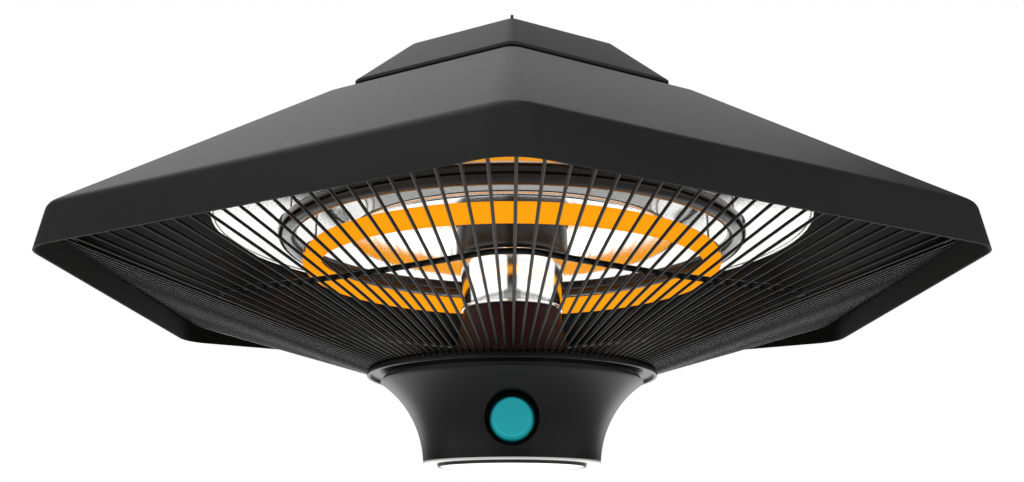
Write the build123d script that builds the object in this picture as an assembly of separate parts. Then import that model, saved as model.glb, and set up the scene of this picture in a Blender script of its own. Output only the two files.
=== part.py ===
from build123d import *
from math import atan2, cos, degrees, floor, radians, sin, sqrt, tan
import os

os.makedirs("parts", exist_ok=True)

# A six-sided infrared heater that hangs from a ceiling. One corner of its canopy points to the front, -Y.
# Heights below are counted from a level just above the skirt's lower edge. The origin is the middle of
# the eye that the heater hangs by, so every piece is lowered by the eye's height when it is written.

# Canopy
canopy_corner = 272.4  # middle to a corner of the skirt's lower edge, before rounding
skirt_low = -0.8
skirt_height = 22.4
skirt_draft = 5.4  # how much nearer the corners are at the top of the skirt
skirt_round = 26.0
skirt_top_round = 18.0
roof_height = 88.9
roof_corner = 123.0
roof_round = 10.0
ridge_round = 8.0  # the soft edge between skirt and roof
sheet = 1.2

# Cap over the connection space
cap_gap = 7.5  # air gap between the roof and the cap's tray
tray_thick = 1.6
gasket_thick = 1.6
gasket_width = 9.0
cap_corner = 106.6
cap_top_corner = 70.4
cap_height = 31.2
cap_round = 8.0
cap_top_round = 5.0
spacer_radius = 6.0
spacer_circle = 88.0
tray_screw_radius = 2.0
tray_nut_height = 3.2

# Hanging lug
eye_radius = 6.0
eye_rise = 24.8  # middle of the eye above the cap
lug_thick = 2.0
lug_round = 11.0
lug_boss_radius = 10.0
lug_boss_height = 15.0
lug_grip = 9.0  # length of tube inside the boss
washer_thick = 1.6
washer_radius = 13.0

# Centre tube and what is clamped on it
tube_radius = 5.0
tube_bore = 3.5
tube_fit = 0.1
sleeve_radius = 7.5
nut_flats = 14.0
nut_height = 5.0
tube_tail = 3.0  # tube left below the lowest nut
tube_slot_height = 14.0

# Connection parts
gland_place = 34.0
gland_bore = 4.2
gland_thread = 8.0
gland_flats = 22.0
gland_rise = 16.0
gland_drop = 11.0
gland_nut_height = 5.0
terminal_size = (38.0, 22.0, 15.0)
terminal_screw_radius = 2.6
harness_place = 66.0
harness_radius = 3.0
grommet_wall = 1.6
cable_radius = 2.4

# Heat shield and thermal cut-out
shield_radius = 100.0
shield_thick = 0.8
shield_gap = 8.2  # from the ceramic terminal up to the heat shield
cutout_radius = 8.0
cutout_height = 9.0
cutout_place = 46.0

# Reflectors
dish_rim_radius = 178.5
dish_rim_height = 44.0
dish_flat_radius = 128.0
dish_height = 62.0
polish_sheet = 0.8
dish_bead = 1.3
dome_radius = 99.5
dome_edge_height = 37.0
dome_inner_radius = 34.0
dome_rise = 8.0
dome_cove = 16.5  # radius of the hollow bend between the pan's wall and its flange
dome_flange = 1.5
dome_edge_round = 2.5

# Ring tubes
lit_circle = 120.0
lit_height = 21.4
unlit_circle = 135.0
unlit_height = 36.8
glass_radius = 5.6
glass_wall = 1.0
filament_radius = 1.5
cap_place = 23.0  # end cap's middle from the heater's middle plane
cap_length = 16.0
cap_depth = 9.0
cap_radius = 7.4
cap_fit = 0.35
band_width = 5.0
band_thick = 0.8
clip_width = 3.0
clip_fit = 0.05
clip_angles = (200.0, 340.0)
lead_radius = 1.2
lead_bend = 4.0
lead_grip = 4.0  # length of lead inside an end cap
lit_lead_out = 4.5  # from the end cap to where the lead turns up
unlit_lead_out = 10.0
lit_lead_rise = 8.5  # from the dish to where the lead turns to the terminal
unlit_lead_rise = 5.0
bushing_radius = 3.0
bushing_length = 8.0
ceramic_size = (44.0, 16.0, 13.0)

# Column under the reflectors
collar_radius = 34.0
collar_height = 26.5
collar_round = 3.5
column_top_radius = 31.8
column_bottom_radius = 29.2
column_bottom = -3.5
flange_radius = 30.6
flange_thick = 2.5
neck_top_radius = 29.4
neck_middle_radius = 33.2
neck_bottom_radius = 39.5
neck_wall = 1.5

# Wire guard
wire_count = 138
wire_radius = 0.8
wire_offset = 0.15  # share of a pitch that the first wire stands off the front corner
rim_radius = 2.0
rim_gap = 0.6  # between the rim and the inside of the skirt
guard_top = 10.1
guard_hub_radius = 84.0
guard_hub_height = -42.1
support_side = 155.0  # from the middle to a side of the six-sided support ring
support_round = 25.0
support_radius = 1.5
hub_ring_width = 4.0
hub_ring_height = 2.0
hub_ring_rise = 0.7  # how far its top stands above the wires' middle lines
wire_grip = 0.5  # length of wire inside the hub ring
bar_overrun = 0.5  # degrees that a side of the support ring is drawn past its corners
clip_length = 7.0
clip_sheet = 1.0
clip_rise = 3.5
clip_hook = 0.8  # how far a clip reaches past the rim's middle

# Bezel and hub plate
bezel_radius = 85.3
bezel_inner_radius = 70.0
bezel_height = 2.8
bezel_wall = 2.0
bezel_step = 0.8
hub_plate_radius = 76.0
hub_plate_thick = 2.0

# Lower housing
housing_wall = 2.0
housing_drop = 45.8
flare_radius = 58.2
flare_middle_radius = 109.7
flare_middle_height = -97.7
boss_radius = 4.0
boss_circle = 60.0
boss_length = 12.0
boss_screw_radius = 1.7
boss_angles = (90.0, 210.0, 330.0)

# Button, pushed in towards +Y
button_height = -74.2
button_face = 59.0  # distance of its face in front of the middle
button_face_radius = 10.3
button_base_radius = 12.6
button_length = 12.0
button_travel = 3.0
button_edge = 0.8
button_stem_radius = 5.0
button_stem_length = 5.0
well_radius = 14.9
well_wall = 1.2
well_depth = 19.0
well_floor = 1.6
stem_fit = 0.3
spring_radius = 7.0
spring_wall = 1.2
plunger_radius = 3.0
plunger_length = 11.0
plunger_fit = 0.05
switch_size = 14.0
switch_length = 12.5

# Control board and what stands on it
board_radius = 54.0
board_thick = 1.6
board_drop = 9.4
board_cut = 34.0
board_hole = 3.6
standoff_radius = 3.0
standoff_circle = 46.0
standoff_angles = (0.0, 60.0, 120.0, 180.0)
relay_size = (15.0, 19.0, 15.5)
transformer_size = (30.0, 24.0, 20.0)
capacitor_radius = 6.5
capacitor_length = 20.0

# Light at the bottom
trim_thick = 1.0
trim_inner_radius = 43.3
trim_wall = 2.2
trim_wall_height = 3.0
trim_fit = 0.2
lens_ring_wall = 1.6
lens_ring_drop = 1.7  # how far it stands below the trim
lens_ring_flange = 3.5
lens_ring_height = 4.5
lens_ledge = 2.2
lens_thick = 1.5
lens_fit = 0.1
led_board_thick = 1.5
led_circle = 28.0
led_count = 12
led_size = 3.5
led_thick = 0.8

# Small gaps
seat_gap = 0.1
air_gap = 0.3

# Heights that follow
roof_top = skirt_height + roof_height
tray_bottom = roof_top + cap_gap
tray_top = tray_bottom + tray_thick
cap_bottom = tray_top + gasket_thick
cap_top = cap_bottom + cap_height
eye_height = cap_top + eye_rise
lug_bottom = cap_top + washer_thick
roof_under = roof_top - sheet
clamp_nut_top = roof_under - washer_thick
clamp_nut_bottom = clamp_nut_top - nut_height
dome_height = dome_edge_height + dome_rise
hub_ring_radius = guard_hub_radius - wire_grip - hub_ring_width
hub_ring_top = guard_hub_height + hub_ring_rise
hub_ring_bottom = hub_ring_top - hub_ring_height
bezel_bottom = hub_ring_bottom - bezel_height
hub_plate_top = bezel_bottom - bezel_step
hub_plate_bottom = hub_plate_top - hub_plate_thick
housing_bottom = hub_plate_bottom - housing_drop
board_top = hub_plate_bottom - board_drop
board_bottom = board_top - board_thick
tube_bottom = hub_plate_bottom - nut_height - tube_tail
tube_top = lug_bottom + lug_grip
flange_bottom = column_bottom - flange_thick
ceramic_top = dish_height + polish_sheet + ceramic_size[2]
shield_height = ceramic_top + shield_gap
rim_round = skirt_round - sheet - rim_gap
rim_height = guard_top + wire_radius + rim_radius + seat_gap / 2

ring_circles = ((lit_circle, lit_height), (unlit_circle, unlit_height))
lead_runs = ((lit_lead_out, lit_lead_rise), (unlit_lead_out, unlit_lead_rise))
half_angle = radians(30.0)
wire_pitch = 360.0 / wire_count
corner_angles = [90.0 + 60.0 * k for k in range(6)]
side_angles = [60.0 * k for k in range(6)]


def write(shape, node):
    """Lowers a shape so that the eye is at the origin, and writes it."""
    export_step(Pos(0, 0, -eye_height) * shape, f"parts/{node}.step")


def group(shapes):
    return Compound(children=list(shapes))


def turned(angle, shape):
    return Rot(0, 0, angle) * shape


def disc(radius, low, high):
    return Pos(0, 0, (low + high) / 2) * Cylinder(radius, high - low)


def ring(outer, inner, low, high):
    return disc(outer, low, high) - disc(inner, low - 1, high + 1)


def spun(points):
    """A solid turned round the middle axis from (radius, height) points."""
    return revolve(Plane.XZ * make_face(Polyline(*points, close=True)), Axis.Z)


def spun_face(*edges):
    return revolve(Plane.XZ * make_face(Curve() + list(edges)), Axis.Z)


def hexagon(corner, round_radius, height):
    """A six-sided face with rounded corners, one corner to the front."""
    flat = RegularPolygon(corner, 6, rotation=30)
    return Pos(0, 0, height) * fillet(flat.vertices(), round_radius)


def hexagon_body(sections):
    return loft([hexagon(*section) for section in sections], ruled=True)


def hexagon_plate(corner, round_radius, low, high):
    return extrude(hexagon(corner, round_radius, low), high - low)


def inset(outline, wall):
    """Moves a (distance of a side, height) outline inwards by the sheet's thickness."""
    lines = []
    for (a0, z0), (a1, z1) in zip(outline[:-1], outline[1:]):
        length = sqrt((a1 - a0) ** 2 + (z1 - z0) ** 2)
        out = ((z1 - z0) / length, (a0 - a1) / length)
        lines.append(((a0 - wall * out[0], z0 - wall * out[1]), (a1 - a0, z1 - z0)))
    first, last = lines[0], lines[-1]
    points = [meet_height(first, outline[0][1])]
    for one, two in zip(lines[:-1], lines[1:]):
        points.append(meet_line(one, two))
    points.append(meet_height(last, outline[-1][1] - wall))
    return points


def meet_height(line, height):
    (a, z), (da, dz) = line
    return (a + da * (height - z) / dz, height)


def meet_line(one, two):
    (a1, z1), (u1, v1) = one
    (a2, z2), (u2, v2) = two
    step = ((a2 - a1) * v2 - (z2 - z1) * u2) / (u1 * v2 - v1 * u2)
    return (a1 + u1 * step, z1 + v1 * step)


def sheet_hexagon(outline, rounds, wall, edge_round):
    """A shell of sheet steel with a closed top, open below."""
    outer = hexagon_body([(a / cos(half_angle), r, z) for (a, z), r in zip(outline, rounds)])
    inner_points = inset(outline, wall)
    (a0, z0), (a1, z1) = inner_points[:2]
    below = (a0 - (a1 - a0) / (z1 - z0), z0 - 1)
    inner_rounds = [max(r - wall, 1.0) for r in rounds]
    inner_sections = list(zip([below] + inner_points[1:], inner_rounds))
    inner = hexagon_body([(a / cos(half_angle), r, z) for (a, z), r in inner_sections])
    if edge_round > 0:
        outer = round_ridge(outer, outline[1][1], edge_round)
        inner = round_ridge(inner, inner_points[1][1], edge_round - wall)
    return outer - inner


def round_ridge(body, height, radius):
    edges = body.edges().filter_by_position(Axis.Z, height - 0.01, height + 0.01)
    return fillet(edges, radius)


def hex_nut(flats, bore, low, high):
    nut = extrude(Pos(0, 0, low) * RegularPolygon(flats / 2 / cos(half_angle), 6), high - low)
    return nut - disc(bore, low - 1, high + 1)


def at_circle(radius, angle, shape):
    place = radians(angle)
    return Pos(radius * cos(place), radius * sin(place), 0) * shape


def around(radius, angles, shape):
    return [at_circle(radius, angle, shape) for angle in angles]


def box_between(low, high):
    size = [b - a for a, b in zip(low, high)]
    middle = [(a + b) / 2 for a, b in zip(low, high)]
    return Pos(*middle) * Box(*size)


def rod(start, end, radius):
    """A round bar between two points."""
    start, end = Vector(*start), Vector(*end)
    length = (end - start).length
    place = Plane(origin=(start + end) * 0.5, z_dir=end - start)
    return place * Cylinder(radius, length)


def bent_rod(points, bend, radius):
    path = FilletPolyline(*points, radius=bend)
    section = Plane(origin=path @ 0, z_dir=path % 0) * Circle(radius)
    return sweep(section, path=path)


def canopy_outline():
    return [
        (canopy_corner * cos(half_angle), skirt_low),
        ((canopy_corner - skirt_draft) * cos(half_angle), skirt_height),
        (roof_corner * cos(half_angle), roof_top),
    ]


def top_cover():
    rounds = (skirt_round, skirt_top_round, roof_round)
    shell = sheet_hexagon(canopy_outline(), rounds, sheet, ridge_round)
    shell -= disc(tube_radius + tube_fit, roof_under - 1, roof_top + 1)
    shell -= group(around(spacer_circle, corner_angles, tray_screw_hole()))
    return shell - harness_hole(roof_top)


def tray_screw_hole():
    return disc(tray_screw_radius + seat_gap, roof_under - 1, tray_top + 1)


def harness_hole(height):
    return Pos(0, harness_place, height) * Cylinder(harness_radius + grommet_wall + seat_gap, 6 * sheet)


def cap_cover():
    outline = [(cap_corner * cos(half_angle), cap_bottom), (cap_top_corner * cos(half_angle), cap_top)]
    shell = sheet_hexagon(outline, (cap_round, cap_top_round), sheet, 0)
    shell -= disc(tube_radius + tube_fit, cap_top - 5, cap_top + 1)
    gland_hole = Pos(0, gland_place, cap_top) * Cylinder(gland_thread + seat_gap, 8 * sheet)
    return shell - gland_hole


def cap_tray():
    plate = hexagon_plate(cap_corner, cap_round, tray_bottom, tray_top)
    lower = plate.edges().filter_by_position(Axis.Z, tray_bottom - 0.01, tray_bottom + 0.01)
    plate = fillet(lower, tray_thick * 0.4)
    plate -= disc(tube_radius + tube_fit, tray_bottom - 1, tray_top + 1)
    plate -= group(around(spacer_circle, corner_angles, tray_screw_hole()))
    return plate - harness_hole(tray_top)


def cap_gasket():
    inner = cap_corner - gasket_width / cos(half_angle)
    outer_plate = hexagon_plate(cap_corner - seat_gap, cap_round, tray_top, cap_bottom)
    return outer_plate - hexagon_plate(inner, cap_round - sheet, tray_top - 1, cap_bottom + 1)


def cap_spacers():
    one = ring(spacer_radius, tray_screw_radius + seat_gap, roof_top, tray_bottom)
    return group(around(spacer_circle, corner_angles, one))


def tray_screws():
    head = disc(tray_screw_radius * 1.8, tray_top, tray_top + tray_screw_radius * 1.2)
    low = roof_under - tray_nut_height - 1.0
    one = head + disc(tray_screw_radius, low, tray_top + 0.5)
    return group(around(spacer_circle, corner_angles, one))


def tray_nuts():
    flats = tray_screw_radius * 3.5
    one = hex_nut(flats, tray_screw_radius + seat_gap, roof_under - tray_nut_height, roof_under)
    return group(around(spacer_circle, corner_angles, one))


def hanging_lug():
    boss = disc(lug_boss_radius, lug_bottom, lug_bottom + lug_boss_height)
    boss = chamfer(boss.edges().group_by(Axis.Z)[-1], 1.5)
    boss -= disc(tube_radius + tube_fit, lug_bottom - 1, tube_top + seat_gap)
    low = lug_bottom + lug_boss_height - 1.5
    plate = box_between((-lug_thick / 2, -lug_round, low), (lug_thick / 2, lug_round, eye_height))
    plate += Pos(0, 0, eye_height) * Rot(0, 90, 0) * Cylinder(lug_round, lug_thick)
    lug = boss + plate
    return lug - Pos(0, 0, eye_height) * Rot(0, 90, 0) * Cylinder(eye_radius, 4 * lug_thick)


def clamp_washers():
    hole = tube_radius + tube_fit
    upper = ring(washer_radius, hole, cap_top, lug_bottom)
    return group([upper, ring(washer_radius, hole, clamp_nut_top, roof_under)])


def clamp_nuts():
    hole = tube_radius + tube_fit
    upper = hex_nut(nut_flats, hole, clamp_nut_bottom, clamp_nut_top)
    return group([upper, hex_nut(nut_flats, hole, hub_plate_bottom - nut_height, hub_plate_bottom)])


def centre_tube():
    tube = ring(tube_radius, tube_bore, tube_bottom, tube_top)
    low = tray_top + 2
    slot = box_between((-tube_bore, 0, low), (tube_bore, tube_radius + 1, low + tube_slot_height))
    return tube - slot


def cap_sleeve():
    """Holds the cap's top off its tray, with a slot for the cable behind."""
    low, high = tray_top, cap_top - sheet
    sleeve = ring(sleeve_radius, tube_radius + tube_fit, low, high)
    slot_top = low + 2 + tube_slot_height
    return sleeve - box_between((-tube_bore, 0, low + 2), (tube_bore, sleeve_radius + 1, slot_top))


def clamp_sleeves():
    """The tubes between the clamped pieces, the one in the cap and the wide one under its tray."""
    hole = tube_radius + tube_fit
    spans = [
        (shield_height + shield_thick, clamp_nut_bottom),
        (dish_height + polish_sheet, shield_height),
        (dome_height + polish_sheet, dish_height),
        (hub_plate_top, collar_height - polish_sheet),
    ]
    tubes = [ring(sleeve_radius, hole, low, high) for low, high in spans]
    return group(tubes + [cap_sleeve(), ring(sleeve_radius * 2, hole, roof_top, tray_bottom)])


def cable_gland():
    hexagon_part = extrude(RegularPolygon(gland_flats / 2 / cos(half_angle), 6), gland_rise * 0.4)
    dome = Pos(0, 0, gland_rise * 0.4) * extrude(Circle(gland_flats * 0.45), gland_rise * 0.6)
    dome = fillet(dome.edges().group_by(Axis.Z)[-1], 3.0)
    thread = Pos(0, 0, -gland_drop / 2) * Cylinder(gland_thread, gland_drop)
    body = hexagon_part + dome + thread
    body -= Cylinder(gland_bore, 4 * gland_rise)
    return Pos(0, gland_place, cap_top) * body


def gland_nut():
    high = -sheet
    nut = hex_nut(gland_flats, gland_thread + seat_gap, high - gland_nut_height, high)
    return Pos(0, gland_place, cap_top) * nut


def terminal_block():
    width, depth, height = terminal_size
    low = (-width / 2, harness_place - depth / 2, tray_top)
    block = box_between(low, (width / 2, harness_place + depth / 2, tray_top + height))
    block = chamfer(block.edges().group_by(Axis.Z)[-1], 1.0)
    for x, y in terminal_places():
        block -= Pos(x, y, tray_top + height) * Cylinder(terminal_screw_radius + seat_gap, 8)
    return block


def terminal_places():
    width, depth, _ = terminal_size
    return [(x, harness_place + y) for x in (-width / 3, 0, width / 3) for y in (-depth / 4, depth / 4)]


def terminal_screws():
    low = tray_top + terminal_size[2] - 4
    one = disc(terminal_screw_radius, low, low + 3)
    one -= box_between((-5, -0.4, low + 2.2), (5, 0.4, low + 4))
    return group(Pos(x, y, 0) * one for x, y in terminal_places())


def supply_harness():
    return Pos(0, harness_place, 0) * disc(harness_radius, ceramic_top, tray_top)


def harness_grommets():
    outer = harness_radius + grommet_wall
    spans = [(shield_height, shield_thick), (roof_under, sheet), (tray_bottom, tray_thick)]
    rings = []
    for low, thick in spans:
        one = ring(outer, harness_radius + seat_gap / 2, low, low + thick)
        flange = ring(outer + 1.5, harness_radius + seat_gap / 2, low - 1.2, low)
        rings.append(Pos(0, harness_place, 0) * (one + flange))
    return group(rings)


def control_cable():
    """Runs down the bore of the centre tube, from the terminal block to the board."""
    high = tray_top + 2 + tube_slot_height / 2
    end = harness_place - terminal_size[1] / 2
    points = [(0, 0, board_top), (0, 0, high), (0, end, high)]
    return bent_rod(points, tube_bore, cable_radius)


def heat_shield():
    low = shield_height
    plate = disc(shield_radius, low, low + shield_thick)
    lip = ring(shield_radius, shield_radius - shield_thick, low, low + 5)
    plate = plate + lip - disc(tube_radius + tube_fit, low - 1, low + 2)
    hole = harness_radius + grommet_wall + seat_gap
    return plate - Pos(0, harness_place, low) * Cylinder(hole, 4)


def thermal_cutout():
    low = shield_height + shield_thick
    can = disc(cutout_radius, low, low + cutout_height * 0.7)
    can += disc(cutout_radius * 0.75, low, low + cutout_height)
    for x in (-4.0, 4.0):
        can += box_between((x - 0.4, -3, low + cutout_height - 1), (x + 0.4, 3, low + cutout_height + 7))
    return Pos(cutout_place, 0, 0) * can


def dish_surface(radius):
    """Height of the dish's lower face at a radius."""
    if radius <= dish_flat_radius:
        return dish_height
    share = (radius - dish_flat_radius) / (dish_rim_radius - dish_flat_radius)
    return dish_height + (dish_rim_height - dish_height) * share


def reflector_dish():
    top = polish_sheet
    points = [
        (tube_radius + tube_fit, dish_height),
        (dish_flat_radius, dish_height),
        (dish_rim_radius, dish_rim_height),
        (dish_rim_radius, dish_rim_height + top),
        (dish_flat_radius, dish_height + top),
        (tube_radius + tube_fit, dish_height + top),
    ]
    dish = spun(points)
    dish += Pos(0, 0, dish_rim_height + top / 2) * Torus(dish_rim_radius, dish_bead)
    hole = Cylinder(bushing_radius + seat_gap, 2 * bushing_length)
    for knee in lead_places():
        dish -= Pos(knee.X, knee.Y, dish_height) * hole
    return dish


def dome_cove_arc(radius):
    """Points on the hollow bend, from its end on the wall to its end on the flange."""
    middle = (dome_radius + dome_cove, dish_height - polish_sheet - dome_cove)
    steps = 12
    angles = [radians(180 - 90 * k / steps) for k in range(steps + 1)]
    return [(middle[0] + radius * cos(a), middle[1] + radius * sin(a)) for a in angles]


def reflector_dome():
    """A shallow polished pan that hangs from the dish."""
    edge, low, wall = dome_radius, dome_edge_height, polish_sheet
    flange_end = dome_radius + dome_cove + dome_flange
    hole = tube_radius + tube_fit
    lower = [
        (hole, dome_height),
        (dome_inner_radius, dome_height),
        (edge - dome_edge_round, low),
        (edge, low + dome_edge_round),
    ]
    upper = [
        (edge - wall, low + dome_edge_round + wall / 2),
        (edge - dome_edge_round - wall / 2, low + wall),
        (dome_inner_radius, dome_height + wall),
        (hole, dome_height + wall),
    ]
    flange = [(flange_end, dish_height - wall), (flange_end, dish_height)]
    back = dome_cove_arc(dome_cove + wall)[::-1]
    return spun(lower + dome_cove_arc(dome_cove) + flange + back + upper)


def ring_cap_angle(circle):
    """Angle of an end cap's middle from the back, on the ring tube's circle."""
    return degrees(atan2(cap_place, circle))


def ring_tube(circle, height, outer, inner):
    """An open ring of round section, with its gap at the back."""
    start = cap_place + cap_length / 2 - cap_depth
    gap = degrees(start / circle)
    section = Circle(outer)
    if inner > 0:
        section -= Circle(inner)
    face = Plane(origin=(circle, 0, height), z_dir=(0, 1, 0)) * section
    part = revolve(face, Axis.Z, 360 - 2 * gap)
    return turned(90 + gap, part)


def lit_tube():
    return ring_tube(lit_circle, lit_height, glass_radius, glass_radius - glass_wall)


def unlit_tube():
    return ring_tube(unlit_circle, unlit_height, glass_radius, glass_radius - glass_wall)


def lit_filament():
    return ring_tube(lit_circle, lit_height, filament_radius, 0)


def unlit_filament():
    return ring_tube(unlit_circle, unlit_height, filament_radius, 0)


def end_caps():
    """Ceramic caps on the ends of both ring tubes."""
    body = fillet(Cylinder(cap_radius, cap_length).edges(), 0.8)
    socket = Cylinder(glass_radius + cap_fit, cap_depth)
    body -= Pos(0, 0, cap_length / 2 - cap_depth / 2) * socket
    body -= Cylinder(lead_radius + seat_gap / 2, 2 * cap_length)
    places = [(circle, height, side) for circle, height in ring_circles for side in (-1, 1)]
    return group(cap_plane(*place) * body for place in places)


def cap_plane(circle, height, side):
    """A plane at an end cap's middle, its Z axis along the tube, away from the gap."""
    angle = radians(90 + side * ring_cap_angle(circle))
    along = (-side * sin(angle), side * cos(angle), 0)
    return Plane(origin=(circle * cos(angle), circle * sin(angle), height), z_dir=along)


def end_brackets():
    """Steel bands round the end caps, each hung from the dish by a strip."""
    parts = []
    for circle, height in ring_circles:
        for side in (-1, 1):
            inner = cap_radius + seat_gap / 2
            band = Cylinder(inner + band_thick, band_width) - Cylinder(inner, band_width + 1)
            part = cap_plane(circle, height, side) * band
            place = 90 + side * ring_cap_angle(circle)
            parts.append(part + hanger(circle, place, height, inner, band_width))
    return group(parts)


def hanger(circle, angle, height, reach, width):
    """A strip from the top of a band to the dish."""
    top = dish_surface(circle + band_thick)
    low = height + reach + band_thick / 2
    inner, outer = circle - band_thick / 2, circle + band_thick / 2
    strip = box_between((inner, -width / 2, low), (outer, width / 2, top))
    return turned(angle, strip)


def tube_clips():
    """Spring clips that grip the upper side of a ring tube."""
    parts = []
    for circle, height in ring_circles:
        for angle in clip_angles:
            inner = glass_radius + clip_fit
            band = Cylinder(inner + band_thick, clip_width) - Cylinder(inner, clip_width + 1)
            band = Pos(circle, 0, height) * Rot(90, 0, 0) * band
            open_top = height - glass_radius * 0.2
            band -= box_between((circle - 20, -10, height - 20), (circle + 20, 10, open_top))
            parts.append(turned(angle, band) + hanger(circle, angle, height, inner, clip_width))
    return group(parts)


def lead_knee(circle, height, side, out):
    """Where a lead turns up, straight out from its end cap."""
    plane = cap_plane(circle, height, side)
    return plane.origin - plane.z_dir * (cap_length / 2 + out)


def lead_places():
    """Where the leads rise through the dish: two for each ring tube."""
    places = []
    for (circle, height), (out, _) in zip(ring_circles, lead_runs):
        places += [lead_knee(circle, height, side, out) for side in (-1, 1)]
    return places


def lead_wires():
    wires = []
    for (circle, height), (out, rise) in zip(ring_circles, lead_runs):
        level = dish_height + polish_sheet + rise
        for side in (-1, 1):
            knee = lead_knee(circle, height, side, out)
            begin = lead_knee(circle, height, side, -lead_grip)
            over = (knee.X, knee.Y, level)
            end = (knee.X, harness_place + ceramic_size[1] / 2, level)
            wires.append(bent_rod([begin, knee, over, end], lead_bend, lead_radius))
    return group(wires)


def lead_bushings():
    one = Cylinder(bushing_radius, bushing_length) - Cylinder(lead_radius + seat_gap / 2, 2 * bushing_length)
    places = []
    for knee in lead_places():
        middle = dish_surface(sqrt(knee.X**2 + knee.Y**2)) + polish_sheet / 2
        places.append(Pos(knee.X, knee.Y, middle))
    return group(place * one for place in places)


def ceramic_terminal():
    width, depth, height = ceramic_size
    low = dish_height + polish_sheet
    back = harness_place + depth / 2
    block = box_between((-width / 2, back - depth, low), (width / 2, back, low + height))
    return chamfer(block.edges().filter_by(Axis.Z), 1.5)


def column_collar():
    body = ring(collar_radius, tube_radius + tube_fit, collar_height, dome_height)
    low_edge = body.edges().filter_by(GeomType.CIRCLE).filter_by_position(
        Axis.Z, collar_height - 0.01, collar_height + 0.01
    ).sort_by(SortBy.RADIUS)[-1]
    return fillet(low_edge, collar_round)


def column_sleeve():
    wall = polish_sheet
    points = [
        (tube_radius + tube_fit, collar_height),
        (column_top_radius, collar_height),
        (column_bottom_radius, column_bottom),
        (column_bottom_radius - wall, column_bottom),
        (column_top_radius - wall, collar_height - wall),
        (tube_radius + tube_fit, collar_height - wall),
    ]
    return spun(points)


def column_flange():
    inner = column_bottom_radius - 4
    body = ring(flange_radius, inner, flange_bottom, column_bottom)
    outer_edges = body.edges().filter_by(GeomType.CIRCLE).sort_by(SortBy.RADIUS)[-2:]
    return fillet(outer_edges, flange_thick * 0.45)


def neck_shroud():
    middle_height = (flange_bottom + hub_plate_top) / 2
    top = (neck_top_radius, flange_bottom)
    middle = (neck_middle_radius, middle_height)
    bottom = (neck_bottom_radius, hub_plate_top)
    inner = [(r - neck_wall, z) for r, z in (top, middle, bottom)]
    outside = ThreePointArc(top, middle, bottom)
    inside = ThreePointArc(*inner)
    return spun_face(outside, Line(bottom, inner[2]), inside, Line(inner[0], top))


def six_sided_reach(turn, side, round_radius):
    """From the middle to a rounded six-sided outline, at an angle from the front corner, 0 to 60 degrees."""
    middle = (side - round_radius) / cos(half_angle)
    off_side = radians(turn - 30)
    if side * abs(sin(off_side)) < middle * sin(half_angle) * cos(off_side):
        return side / cos(off_side)
    off_corner = radians(min(turn, 60 - turn))
    return middle * cos(off_corner) + sqrt(round_radius**2 - (middle * sin(off_corner)) ** 2)


def rim_side():
    """From the middle to the rim's own middle line, at the middle of a side."""
    return skirt_inside(rim_height) - rim_gap - rim_radius


def rim_reach(turn):
    return six_sided_reach(turn, rim_side(), rim_round)


def at_turn(turn, reach, height):
    """A point at an angle from the front corner."""
    angle = radians(turn - 90)
    return Vector(reach * cos(angle), reach * sin(angle), height)


def wire_height(turn, reach):
    """Height of a wire's middle line at a distance from the middle."""
    share = (reach - guard_hub_radius) / (rim_reach(turn) - guard_hub_radius)
    return guard_hub_height + (guard_top - guard_hub_height) * share


def guard_wire(turn):
    """One straight wire, from the rim into the hub ring."""
    inner = hub_ring_radius + hub_ring_width - wire_grip
    start = at_turn(turn, rim_reach(turn), guard_top)
    return rod(start, at_turn(turn, inner, wire_height(turn, inner)), wire_radius)


def support_point(turn):
    """A point on the middle line of the support ring, which lies on the wires."""
    reach = six_sided_reach(turn, support_side, support_round)
    lean = atan2(guard_top - guard_hub_height, rim_reach(turn) - guard_hub_radius)
    rise = (wire_radius + support_radius + seat_gap) / cos(lean)
    return at_turn(turn, reach, wire_height(turn, reach) + rise)


def support_bar():
    """One side of the support ring, from corner to corner."""
    round_end = 30 - degrees(atan2((support_side - support_round) * tan(half_angle), support_side))
    ends = (-bar_overrun, round_end, 30, 60 - round_end, 60 + bar_overrun)
    arcs = []
    for begin, end in zip(ends[:-1], ends[1:]):
        turns = (begin, (begin + end) / 2, end)
        arcs.append(ThreePointArc(*[support_point(turn) for turn in turns]))
    path = Curve() + arcs
    start = Plane(origin=path @ 0, x_dir=(0, 0, 1), z_dir=path % 0)
    return sweep(start * Circle(support_radius), path=path) & corner_wedge()


def corner_wedge():
    """The space between the front corner and the next one, up and down past the guard."""
    reach = canopy_corner * 1.2
    ends = [(reach * cos(radians(angle)), reach * sin(radians(angle))) for angle in (-90, -30)]
    face = make_face(Polyline((0, 0), *ends, close=True))
    return Pos(0, 0, guard_hub_height) * extrude(face, skirt_height - guard_hub_height)


def hub_ring_part():
    """One sixth of the flat hub ring. Its ends lie midway between wires."""
    outline = Rectangle(hub_ring_width, hub_ring_height)
    middle = (hub_ring_radius + hub_ring_width / 2, 0, hub_ring_top - hub_ring_height / 2)
    face = Plane(origin=middle, x_dir=(1, 0, 0), z_dir=(0, -1, 0)) * outline
    return turned(-90 + (wire_offset - 0.5) * wire_pitch, revolve(face, Axis.Z, 60))


def guard_sector():
    """One sixth of the welded guard: a part of the hub ring with its wires."""
    wires = [guard_wire((k + wire_offset) * wire_pitch) for k in range(wire_count // 6)]
    return hub_ring_part() + wires


def wire_guard():
    pieces = [guard_sector(), support_bar()]
    return group(turned(60 * k, piece) for k in range(6) for piece in pieces)


def guard_rim():
    path = hexagon(rim_side() / cos(half_angle), rim_round, rim_height).wire()
    section = Plane(origin=path @ 0, z_dir=path % 0) * Circle(rim_radius)
    return sweep(section, path=path)


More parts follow.
